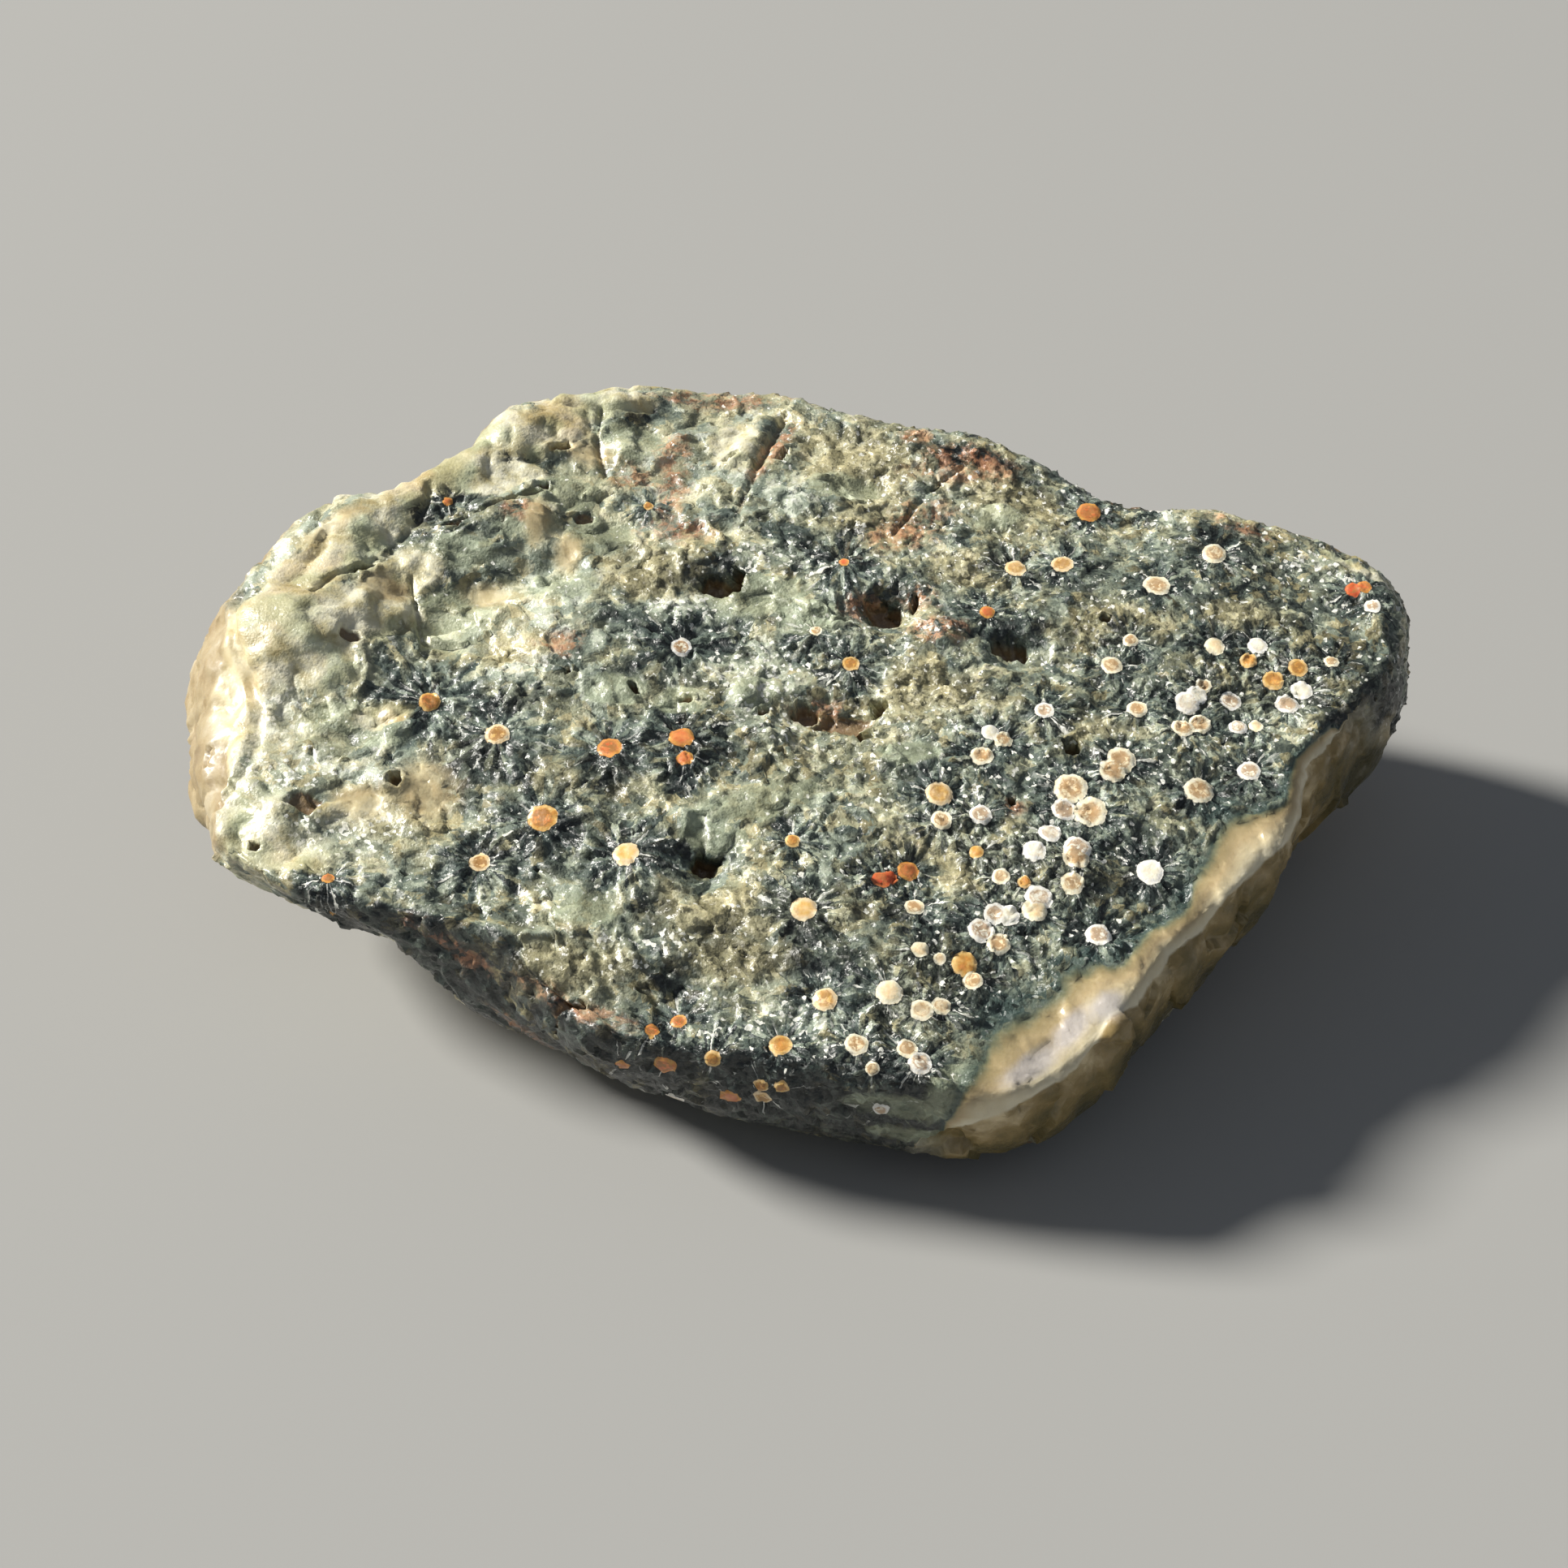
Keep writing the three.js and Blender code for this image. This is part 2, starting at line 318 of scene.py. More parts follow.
# Each row: right, down, length_mm, width_mm, turn_deg, strength.
PATCHES: dict[Zone, tuple[Patch, ...]] = {
    Zone.RIND: rows(
        Patch,
        (345, 780, 4.8, 4.6), (285, 830, 3, 5), (255, 960, 3, 5), (392, 700, 4.2, 2.4, -38),
        (440, 655, 4.2, 1.9, -38), (482, 612, 3.4, 1.5, -35), (562, 570, 3.8, 1.9, -35),
        (655, 530, 4.2, 2.2, -15), (708, 502, 3, 1.6), (771, 492, 2.6, 1), (440, 756, 3.8, 2.2),
        (506, 712, 2.2, 1.8), (300, 1020, 3.4, 1.8, 30), (610, 590, 3, 1.4, -15),
        (905, 545, 1.6, 2.4, 27), (400, 830, 2.6, 1.8), (1660, 690, 2.6, 0.5, 40), (300, 985, 2.4, 3),
        (470, 880, 2, 0.9, -10), (640, 585, 2, 1), (360, 1045, 3.6, 1.5, 20), (425, 1000, 2, 1.2),
        (330, 905, 2.6, 2.2), (590, 545, 3.6, 1.2, -35),
    ),
    Zone.GLASS: rows(
        Patch,
        (552, 765, 2.8, 2.8, -60), (560, 690, 2.8, 1.4), (410, 884, 2.6, 1.2), (771, 545, 2.6, 1.8),
        (736, 659, 2.4, 1.8), (649, 659, 2, 1.2), (700, 610, 2.4, 1.6), (935, 735, 3.4, 1.7),
        (1000, 762, 2.2, 1.4), (940, 990, 4.4, 1.2, -14, 0.8), (880, 1030, 2.2, 1.2, 0, 0.8),
        (760, 850, 2, 1.2), (470, 905, 2, 1.2), (1230, 640, 2, 1), (690, 720, 2.4, 1.4),
        (1110, 1365, 3.4, 0.9), (1150, 1398, 3.6, 0.9), (720, 1120, 2, 1.2), (1040, 600, 2.4, 1.2),
        (1180, 1330, 2.2, 1, -30), (840, 860, 1.8, 1.2), (930, 850, 1.8, 1.2), (1120, 930, 1.8, 1),
    ),
    Zone.RUST: rows(
        Patch,
        (831, 585, 1, 3.4, 0, 1.2), (842, 650, 2, 1.2), (690, 792, 1.2, 0.9), (890, 492, 3.8, 0.8),
        (955, 552, 0.6, 3.4, 27, 1.2), (1186, 574, 3, 1.5, 0, 1.2), (1118, 650, 3, 1.6, -35),
        (1155, 776, 1.7, 0.8), (1060, 752, 1.6, 0.8), (1125, 540, 1.2, 0.7), (1130, 740, 1.2, 0.8),
        (700, 1236, 2.4, 0.5, 25, 0.6), (1000, 872, 1.8, 0.7), (560, 1170, 2.4, 0.5, 25, 0.6),
        (1250, 995, 0.8, 0.6), (640, 1265, 2, 0.5, 35, 0.6), (252, 940, 0.6, 1.6),
        (1530, 646, 2.2, 0.6, 15), (640, 640, 1, 0.7), (780, 590, 1.4, 0.8),
    ),
    Zone.HONEY: rows(
        Patch,
        (520, 972, 1.9, 1.8, 10, 0.8), (603, 736, 1.6, 0.9), (664, 654, 0.8, 1.7),
        (700, 680, 0.9, 1.4), (258, 900, 3.4, 9, 0, 2), (410, 645, 2.6, 0.7, -40),
        (1690, 930, 1.8, 2.8, 20), (470, 730, 1.6, 1.2), (440, 985, 1.6, 1.2), (730, 560, 1.4, 1),
    ),
    Zone.MOTTLE: rows(
        Patch,
        (1560, 850, 4.4, 2, 10), (1200, 1045, 4.6, 2.2), (1290, 1080, 3.4, 2), (1150, 1195, 3.4, 2.2),
        (960, 1125, 4.4, 2), (1240, 615, 4, 2.2, 20), (1060, 565, 5, 3), (880, 1125, 4, 1.8),
        (700, 1190, 3.6, 1.6), (1150, 850, 4.6, 2, 10), (1370, 770, 3.4, 1.6), (1340, 900, 3.6, 1.2),
        (800, 700, 3.6, 2.4), (640, 860, 1.8, 1.2), (560, 930, 3, 1.4), (850, 840, 2.4, 1.6),
        (1080, 640, 3, 2.2), (1110, 1240, 2.4, 1.6), (720, 960, 3.4, 1.2), (470, 1000, 2.6, 1.6),
        (1530, 760, 2.6, 1.2), (1210, 700, 3, 1.6), (640, 800, 2.4, 1.2), (900, 1180, 3.4, 1.4),
    ),
    Zone.FROST: rows(
        Patch,
        (345, 945, 3.4, 2.8), (340, 880, 2.4, 2), (400, 1030, 3.2, 1.4, 15), (850, 755, 3, 1.4),
        (950, 690, 3.4, 1.4), (930, 830, 3.4, 2.4), (640, 1110, 2, 1), (800, 1170, 3.4, 1.4),
        (1610, 700, 2.4, 1.6), (940, 880, 2.4, 2), (450, 1010, 2.4, 1.4), (960, 1260, 3.6, 1.2),
        (1640, 905, 1.6, 0.7, -30), (660, 820, 1.6, 1),
    ),
    Zone.LAVENDER: rows(
        Patch,
        (1318, 1270, 1.6, 0.7, -45), (1272, 1312, 2.2, 0.7, -40), (1364, 1238, 1.2, 0.7, -40),
    ),
    Zone.DARK: rows(
        Patch,
        (529, 868, 3.4, 2.8, 0, 0.7), (625, 925, 3, 1.8, 0, 0.8), (760, 935, 3, 2.2),
        (860, 915, 2.8, 2.4), (690, 1015, 3, 1.8, 0, 0.8), (790, 1055, 3, 1.6, 0, 0.9),
        (600, 1065, 2.8, 1.3), (430, 1090, 3.6, 0.9, 12), (570, 1115, 4, 0.9, 10), (1015, 690, 2.8, 2),
        (1010, 790, 3, 2), (1050, 820, 2.2, 1.4), (1170, 955, 4, 2.6, 0, 0.8), (850, 780, 2.6, 1.6),
        (760, 760, 2.2, 1.4), (1340, 700, 5, 2.4, 8, 0.8), (1500, 715, 6, 3.6, 10, 0.9),
        (1660, 800, 3.6, 5), (1450, 930, 7, 2, -10, 0.8), (1520, 960, 4, 3, -40),
        (1400, 1090, 5, 3.4, -40), (1110, 1130, 5, 2.2), (1000, 1190, 6, 2, 8),
        (1210, 1230, 5, 2.2, -30), (1050, 1300, 8, 2.4, 10), (900, 1330, 9, 3, 15),
        (720, 1290, 6, 2.2, 30), (1100, 720, 2.4, 1.2), (900, 930, 2.4, 2), (1690, 880, 2.4, 3.4),
        (1400, 850, 3, 1.6, 0, 0.7), (560, 1180, 5, 1.2, 25), (1260, 780, 3, 1),
    ),
}

SWELLS = rows(
    Swell,  # right, down, length_mm, width_mm, rise_mm, turn_deg
    (345, 782, 4.4, 4.2, 0.35), (425, 800, 5.4, 4.8, 1.2), (440, 655, 3.6, 1.5, 0.15, -38),
    (485, 735, 5.8, 3.4, 0.7), (590, 668, 7.6, 3.8, 1, -30), (665, 615, 5, 2.8, 0.5),
    (500, 606, 2.4, 1.1, 0.2, -35), (565, 572, 2.8, 1.4, 0.1, -38), (652, 532, 3.4, 1.8, 0.15, -18),
    (771, 492, 2.2, 0.9, 0.5), (548, 645, 2, 0.8, -0.2, -20), (480, 850, 3, 1.5, -0.2, -20),
    (610, 640, 3.2, 0.9, 0.2, -15), (715, 620, 2.6, 1.5, -0.3), (925, 545, 1.1, 3.4, 0.6, 27),
    (988, 575, 1.2, 2.6, -0.4, 27), (1091, 757, 2.8, 1.8, -0.6), (1162, 778, 1.7, 1, 0.4),
    (1015, 880, 4.6, 1.5, -0.7), (940, 905, 2, 1, 0.5), (905, 985, 4.4, 1.2, 0.25, -16),
    (1318, 1285, 4.2, 1.5, -0.25, -45), (355, 1000, 3.2, 2, 0.4), (262, 850, 1.6, 3.2, 0.5),
    (250, 965, 1.5, 2.6, 0.4), (700, 1225, 3.6, 1.2, -0.9, 28), (620, 1150, 4, 0.8, 0.5, 12),
    (1250, 640, 4.2, 1, 0.5, 25), (1130, 560, 2.6, 1.4, 0.5, 20), (1060, 602, 2.2, 1.2, -0.4),
    (790, 560, 2.6, 1.4, 0.4), (690, 700, 2, 1.6, -0.4), (600, 760, 2.4, 1.2, 0.35),
    (820, 1180, 3, 1, 0.4, 10), (760, 860, 2.2, 1.2, 0.4, -20), (1150, 660, 3, 1.2, 0.35),
    (480, 960, 1.6, 1, 0.4), (560, 1000, 2, 1.2, -0.3), (880, 640, 2.4, 1, 0.35),
    (1245, 830, 2.6, 0.9, 0.35), (960, 1180, 2.6, 1, 0.3), (430, 905, 2, 1, -0.35),
)

# Where the pale band's outer crest runs, and how far the band reaches inward from it.
BAND = rows(
    BandStation,  # right, down, width_mm
    (1640, 905, 0.5), (1605, 946, 0.8), (1601, 1000, 1.1), (1584, 1034, 2.6), (1554, 1065, 3.3),
    (1512, 1103, 2.2), (1485, 1145, 1.7), (1440, 1176, 1.8), (1416, 1214, 2.2), (1400, 1237, 3.4),
    (1366, 1252, 3.3), (1351, 1283, 4.1), (1324, 1321, 5), (1290, 1344, 4.6), (1244, 1367, 3.8),
    (1208, 1377, 2.2), (1176, 1388, 0.6),
)

PITS = rows(
    Pit,  # right, down, length_mm, width_mm, depth_mm, turn_deg, lean_mm
    (888, 728, 1.40, 0.95, 1.1, 15, 0.1), (908, 718, 0.62, 1.10, 2.4, 10, 0.2),
    (1091, 757, 1.30, 0.95, 0.9, 0, 0.1), (1126, 743, 0.28, 0.75, 1.4, 20, 0.1),
    (1245, 802, 1.45, 0.80, 1.5, 0, 0.2), (994, 874, 0.95, 0.80, 1.2, 30, 0.1),
    (1083, 871, 0.62, 0.55, 1.9, 0, 0.5), (1066, 906, 0.62, 0.42, 1.6, 0, 0.4),
    (941, 873, 0.42, 0.36, 1), (869, 1069, 0.90, 0.66, 1.7, 10, 0.2),
    (1320, 921, 0.62, 0.72, 1.9, 0, 0.4), (1247, 988, 0.30, 0.42, 0.9),
    (486, 961, 0.52, 0.55, 1.3, 0, 0.3), (374, 986, 1.10, 0.80, 0.45, 20, 0.1),
    (312, 1039, 0.42, 0.34, 0.6), (448, 699, 0.85, 0.20, 1.3, -20, 0.3),
    (690, 553, 0.95, 0.34, 1.1, -20, 0.4), (668, 606, 0.60, 0.42, 0.9),
    (900, 566, 0.72, 0.20, 0.9, -45), (927, 516, 0.50, 0.18, 0.8, -52),
    (699, 826, 0.22, 0.42, 0.9, 25), (782, 849, 0.30, 0.60, 1, -25), (430, 793, 1.00, 0.40, 0.35, 15),
    (1362, 760, 0.42, 0.28, 1, 40), (700, 1233, 1.40, 0.40, 0.8, -15, 0.3), (720, 640, 0.8, 0.5, 0.4),
    (965, 560, 0.30, 0.8, 0.7, 30), (1040, 890, 2.2, 0.9, 0.5, 10), (560, 655, 0.7, 0.35, 0.6),
    (258, 935, 0.25, 0.8, 0.5), (845, 860, 0.5, 0.3, 0.6),
)

CRACKS: tuple[Crack, ...] = (
    Crack(((966, 512), (948, 548), (930, 580), (908, 628)), 0.40, 0.4),
    Crack(((505, 715), (515, 769), (521, 794)), 0.24, 0.3),
    Crack(((294, 733), (292, 797), (318, 880), (308, 930), (266, 991), (256, 1037)), 0.55, 0.3),
    Crack(((530, 600), (520, 640), (470, 690), (445, 700)), 0.40, 0.28),
    Crack(((445, 700), (410, 712), (385, 735)), 0.30, 0.35),
    Crack(((560, 655), (610, 630), (680, 610)), 0.30, 0.35),
    Crack(((610, 812), (660, 815), (700, 820)), 0.25, 0.4),
    Crack(((1190, 575), (1140, 610), (1100, 660)), 0.25, 0.25),
    Crack(((740, 500), (735, 545), (745, 585)), 0.30, 0.35),
)


# ---- Repeatable noise in mesh code ----


@dataclass(frozen=True)
class Cloud:
    """One field of cloudy noise.

    Attributes:
        width_mm: Size of its broadest hump.
        shift_mm: Moves it, so that two fields of one width differ.
        octaves: How many times its detail halves.
    """

    width_mm: float
    shift_mm: float = 0.0
    octaves: int = 2


@dataclass
class Cells:
    """What the cell noise says at each point.

    Attributes:
        near: Distance to the nearest seed, in cell widths.
        second: Distance to the next one.
        away: Offset from the nearest seed.
        pick: The nearest seed's four random numbers.
        row: Its row in the table.
    """

    TILT = 1.2
    RISE = 0.7

    near: Array
    second: Array
    away: Array
    pick: Array
    row: Array

    def facets(self) -> Array:
        """Height of a tilted flat face in each cell, from about -1 to 1."""
        tilt = np.roll(self.pick[:, :3], 1, axis=1) * 2 - 1
        return np.sum(self.away * tilt, axis=1) * self.TILT + (self.pick[:, 3] - 0.5) * self.RISE


class Grain:
    """Repeatable noise over points in millimetres, made from small seeded tables."""

    TABLE = 256
    OCTAVE_SHIFT_MM = 37.3
    CREASE_RISE = 3
    CREASE_ROUND = 0.4

    def __init__(self, seed: int) -> None:
        """Draws the tables.

        Args:
            seed: Starts the random draws.
        """
        source = np.random.default_rng(seed)
        self._order = source.permutation(self.TABLE)
        self.picks = source.random((self.TABLE, 4))

    def _hash(self, cells: Array) -> Array:
        """The table row of each whole-number cell."""
        last = self.TABLE - 1
        x, y, z = (cells[:, axis] & last for axis in range(3))
        return self._order[(self._order[(self._order[x] + y) & last] + z) & last]

    def waves(self, points: Array, wavelength: float) -> Array:
        """Smooth noise from -1 to 1.

        Args:
            points: One row for each point.
            wavelength: Rough size of a hump.

        Returns:
            One value for each point.
        """
        scaled = points / wavelength
        base = np.floor(scaled).astype(np.int64)
        part = scaled - base
        ease = part * part * (3 - 2 * part)
        total = np.zeros(len(points))
        for corner in np.ndindex(2, 2, 2):
            step = np.array(corner)
            weight = np.prod(np.where(step, ease, 1 - ease), axis=1)
            total += weight * self.picks[self._hash(base + step), 3]
        return total * 2 - 1

    def fractal(self, points: Array, cloud: Cloud) -> Array:
        """Noise with finer and finer detail on it.

        Args:
            points: One row for each point.
            cloud: Its width, its shift and how fine it gets.

        Returns:
            One value for each point, about -1 to 1.
        """
        total = np.zeros(len(points))
        for octave in range(cloud.octaves):
            shifted = points + cloud.shift_mm + self.OCTAVE_SHIFT_MM * octave
            total += self.waves(shifted, cloud.width_mm / 2**octave) * 0.5**octave
        return total

    def cells(self, points: Array, size: float) -> Cells:
        """Cell noise: the nearest of a jittered lattice of seeds.

        Args:
            points: One row for each point.
            size: Rough width of a cell.

        Returns:
            Distances in cell widths, the offset from the nearest seed, and its four random picks.
        """
        scaled = points / size
        base = np.floor(scaled).astype(np.int64)
        count = len(points)
        near = np.full(count, FAR)
        second = np.full(count, FAR)
        away = np.zeros((count, 3))
        row = np.zeros(count, dtype=np.int64)
        for corner in np.ndindex(3, 3, 3):
            cell = base + np.array(corner) - 1
            rows = self._hash(cell)
            found = self.picks[rows]
            offset = scaled - cell - found[:, :3]
            distance = np.linalg.norm(offset, axis=1)
            closer = distance < near
            second = np.where(closer, near, np.minimum(second, distance))
            near = np.where(closer, distance, near)
            away[closer] = offset[closer]
            row[closer] = rows[closer]
        return Cells(near, second, away, self.picks[row], row)

    def lobes(self, points: Array, size: float) -> Array:
        """Rounded swellings with creases between them, from 0 in a crease to 1 on a crown."""
        found = self.cells(points, size)
        crease = np.clip((found.second - found.near) * self.CREASE_RISE, 0, 1)
        return np.clip(1 - found.near**2, 0, 1) * crease**self.CREASE_ROUND


def smooth(step: Step, value: Array) -> Array:
    """An even S-shaped change from 0 at the step's start to 1 at its end."""
    start, end = step
    part = np.clip((value - start) / (end - start), 0, 1)
    return part * part * (3 - 2 * part)


# ---- Places on the frame solid ----


@dataclass(frozen=True)
class Seat:
    """A place on the stone: its middle, and the directions along, across and out of the surface."""

    middle: Array
    along: Array
    across: Array
    outward: Array

    def local(self, points: Array) -> Array:
        """Points as lengths along, across and out of the surface, in millimetres."""
        return (points - self.middle) @ np.stack([self.along, self.across, self.outward], axis=1)


@dataclass(frozen=True)
class SeatedOrb:
    """An orb on its seat. Its chance is a number from 0 to 1 that makes it unlike the others."""

    seat: Seat
    radius_mm: float
    tint: float
    halo_mm: float
    chance: float


class Placer:
    """Finds places on the frame solid, in millimetres."""

    MERGE_WITHIN = 1e-6
    LEAST_ALONG = 0.2

    def __init__(self, node: bpy.types.Object, viewpoint: Viewpoint) -> None:
        """Takes a merged copy of the frame solid.

        Args:
            node: The frame solid, which isn't changed.
            viewpoint: The camera that places are given through.
        """
        self.viewpoint = viewpoint
        self.mesh = self._merged_copy(node)
        corners = [vertex.co for vertex in self.mesh.vertices]
        faces = [tuple(face.vertices) for face in self.mesh.polygons]
        self.tree = BVHTree.FromPolygons(corners, faces)

    @staticmethod
    def _merged_copy(node: bpy.types.Object) -> bpy.types.Mesh:
        """The frame's mesh in millimetres with its vertices merged.

        Args:
            node: The frame solid, which isn't changed.

        Returns:
            The new mesh.
        """
        mesh = node.data.copy()
        work = bmesh.new()
        work.from_mesh(mesh)
        bmesh.ops.remove_doubles(work, verts=work.verts, dist=Placer.MERGE_WITHIN)
        bmesh.ops.scale(work, vec=Vector((1, 1, 1)) / METRES_PER_MM, verts=work.verts)
        bmesh.ops.recalc_face_normals(work, faces=work.faces)
        work.to_mesh(mesh)
        work.free()
        return mesh

    def seat(self, right: int, down: int, turn_deg: float = 0.0) -> Seat:
        """Finds the place on the stone that is seen at a place of the picture.

        Args:
            right: Pixels from the picture's left edge.
            down: Pixels from its top edge.
            turn_deg: Turns the along direction from the picture's right towards its bottom.

        Returns:
            The seat.
        """
        eye = self.viewpoint.eye
        sight = self.viewpoint.sight(right, down)
        middle, outward, _, _ = self.tree.ray_cast(Vector(eye), Vector(sight))
        if middle is None:
            reach = eye + sight * self.viewpoint.distance_mm
            middle, outward, _, _ = self.tree.find_nearest(Vector(reach))
        return self.frame_at(np.array(middle), np.array(outward), turn_deg)

    @staticmethod
    def frame_at(middle: Array, outward: Array, turn_deg: float = 0.0) -> Seat:
        """A seat with its along direction near +X, turned about the outward direction.

        Args:
            middle: Its middle.
            outward: Unit vector out of the surface.
            turn_deg: How far to turn.

        Returns:
            The seat.
        """
        along = ACROSS - outward * outward[0]
        if np.linalg.norm(along) < Placer.LEAST_ALONG:
            along = AWAY - outward * outward[1]
        along /= np.linalg.norm(along)
        across = np.cross(outward, along)
        turn = -math.radians(turn_deg)
        turned = along * math.cos(turn) + across * math.sin(turn)
        return Seat(middle, turned, np.cross(outward, turned), outward)

    def facing(self, points: Array, normals: Array) -> Array:
        """How squarely each point faces the camera: 1 is square on, and below 0 is turned away."""
        toward = self.viewpoint.eye - points
        toward /= np.linalg.norm(toward, axis=1)[:, None]
        return np.sum(toward * normals, axis=1)

    def scatter(self, count: int, source: np.random.Generator) -> tuple[Array, Array]:
        """Even random places all over the stone.

        Args:
            count: How many.
            source: The random draws.

        Returns:
            The places and the outward directions there.
        """
        faces = self.mesh.polygons
        areas = np.array([face.area for face in faces])
        picks = source.choice(len(faces), size=count, p=areas / areas.sum())
        middles = np.array([faces[int(pick)].center for pick in picks])
        outwards = np.array([faces[int(pick)].normal for pick in picks])
        return middles, outwards


# ---- What lies at each point of the skin ----


class Ground:
    """Works out which mineral lies at each point, and where the orbs sit.

    A Step is where a smooth change starts and where it is complete. A slope is a part of the
    outward direction, and an X is a place in millimetres.
    """

    ORB_SCALE = 1.06
    HALO_SCALE = 1.2

    WARMTH = Cloud(9.0, 61.0)
    BROAD = Cloud(11.0)
    PATCHY = Cloud(6.0, 91.0)
    FROSTY = Cloud(5.0, 17.0)
    RUSTY = Cloud(6.0, 53.0)
    CROWD = Cloud(9.0, 29.0)

    FRONT_SLOPE: Step = (-0.15, -0.6)
    FRONT_X: Step = (-36.0, -27.0)
    WALL_SLOPE: Step = (0.86, 0.52)
    OUTER_SLOPE: Step = (0.0, 0.4)
    CRUST_X: Step = (4.0, -14.0)
    WALL_SHADED: Step = (-1.0, -0.35)
    LEFT_X: Step = (10.0, -14.0)
    WAXY_X: Step = (-2.0, -28.0)
    WAXY_SLANT = 0.9
    ROUND_DARK: Step = (-0.3, 0.3)
    AMBER_X: Step = (18.0, 34.0)
    TURNED_AWAY: Step = (0.12, -0.12)
    MIDDLE_X = -6.0
    HALF_LENGTH = 26.0

    MOST_ACROSS = 2.0
    WALL_REACH_MM = 3.0
    BAND_SEEN: Step = (-0.25, 0.0)
    BAND_FADE_MM: Step = (-0.5, 5.0)

    HIDDEN_ORB_LOOKS = (WHITE, CREAM, CREAM, CREAM, PEACH, YELLOW, ORANGE)
    HIDDEN_ORB_TRIES = 1600
    HIDDEN_ORB_RADII_MM = (0.34, 0.74)
    HIDDEN_ORB_HALO_MM = 1.6
    LEAST_GAP_MM = 1.05
    MORE_GAP_MM = 1.5
    MOST_FACING = -0.02
    MOST_RIND = -0.1
    LEAST_CROWD = 0.1
    LEAST_HEIGHT_MM = 0.4

    def __init__(self, placer: Placer, patch_depth_mm: float, seed: int) -> None:
        """Keeps what the fields are made from.

        Args:
            placer: Finds places on the stone.
            patch_depth_mm: How deep a patch of mineral reaches.
            seed: Starts the random draws.
        """
        self.placer = placer
        self.patch_depth_mm = patch_depth_mm
        self.grain = Grain(seed)
        self.source = np.random.default_rng(seed + 2)

    def zones(self, points: Array, normals: Array) -> dict[Zone, Array]:
        """How far each point lies inside each mineral: 1 in the middle, 0 on the edge, less outside.

        Args:
            points: Rows in millimetres.
            normals: Outward directions of the broad surface there.

        Returns:
            One field for each zone.
        """
        fields = {}
        for zone, patches in PATCHES.items():
            best = np.full(len(points), -1.0)
            for patch in patches:
                seat = self.placer.seat(patch.right, patch.down, patch.turn_deg)
                size = np.array([patch.length_mm, patch.width_mm, self.patch_depth_mm])
                reach = np.linalg.norm(seat.local(points) / size, axis=1)
                best = np.maximum(best, patch.strength * (1 - reach))
            fields[zone] = best
        crust = self._crust(points, normals)
        warm = crust * 1.3 + 0.1 + self.grain.fractal(points, self.WARMTH) * 0.7
        fields[Zone.RIND] = np.maximum(fields[Zone.RIND], crust)
        fields[Zone.HONEY] = np.maximum(fields[Zone.HONEY], np.clip(warm, -1, 1))
        # Painted shade: the near wall leans in under the stone and lies in shade, so the dark zone is
        # raised there to darken it.
        front_shade = smooth(self.FRONT_SLOPE, normals[:, 1]) * smooth(self.FRONT_X, points[:, 0])
        fields[Zone.DARK] = np.maximum(fields[Zone.DARK], front_shade * 1.8 - 0.6)
        self._cover_hidden(fields, points, normals)
        return fields

    def _crust(self, points: Array, normals: Array) -> Array:
        """The weathered crust that wraps the outer walls of the left half, as a zone field.

        Args:
            points: Rows in millimetres.
            normals: Outward directions of the broad surface there.

        Returns:
            One value for each point.
        """
        wall = smooth(self.WALL_SLOPE, normals[:, 2])
        outer = smooth(self.OUTER_SLOPE, (normals[:, 1] - normals[:, 0]) * math.sqrt(0.5))
        left = smooth(self.CRUST_X, points[:, 0])
        return wall * outer * left * 1.7 - 1.0

    def wall_shade_and_left(self, points: Array, normals: Array) -> Array:
        """How much painted shade darkens the crust of the outer walls, which the main lamp strikes
        square on, and how near the left end each point lies.

        Args:
            points: Rows in millimetres.
            normals: Outward directions of the broad surface there.

        Returns:
            Rows of the painted shade and the nearness, both 0 to 1.
        """
        stain_and_shade = smooth(self.WALL_SHADED, self._crust(points, normals))
        return np.column_stack([stain_and_shade, smooth(self.LEFT_X, points[:, 0]), np.zeros(len(points))])

    def wax(self, points: Array, zones: dict[Zone, Array]) -> Array:
        """How smooth and waxy the ground is: 1 at the left, 0 at the right and round dark sprays."""
        left = smooth(self.WAXY_X, points[:, 0] - points[:, 1] * self.WAXY_SLANT)
        return left * (1 - 0.8 * smooth(self.ROUND_DARK, zones[Zone.DARK]))

    def _cover_hidden(self, fields: dict[Zone, Array], points: Array, normals: Array) -> None:
        """Lays minerals over the faces that the camera can't see.

        Args:
            fields: The zone fields, which are changed.
            points: Rows in millimetres.
            normals: Outward directions of the broad surface there.
        """
        hidden = smooth(self.TURNED_AWAY, self.placer.facing(points, normals))
        broad = self.grain.fractal(points, self.BROAD)
        patchy = self.grain.fractal(points, self.PATCHY)
        leftness = (self.MIDDLE_X - points[:, 0]) / self.HALF_LENGTH
        laid = {
            Zone.RIND: leftness * 0.9 + broad * 0.55 - 0.05,
            Zone.DARK: -leftness * 0.8 + patchy * 0.6 + 0.1,
            Zone.MOTTLE: patchy * -0.7 + 0.1,
            Zone.GLASS: broad * 0.8 - 0.45,
            Zone.FROST: self.grain.fractal(points, self.FROSTY) * 0.8 - 0.35,
            Zone.RUST: self.grain.fractal(points, self.RUSTY) * 0.9 - 0.6,
            Zone.HONEY: smooth(self.AMBER_X, points[:, 0]) * 0.8 - 0.5 + patchy * 0.4,
        }
        for zone, value in laid.items():
            covered = np.maximum(np.clip(value, -1, 1), fields[zone])
            fields[zone] = fields[zone] * (1 - hidden) + covered * hidden

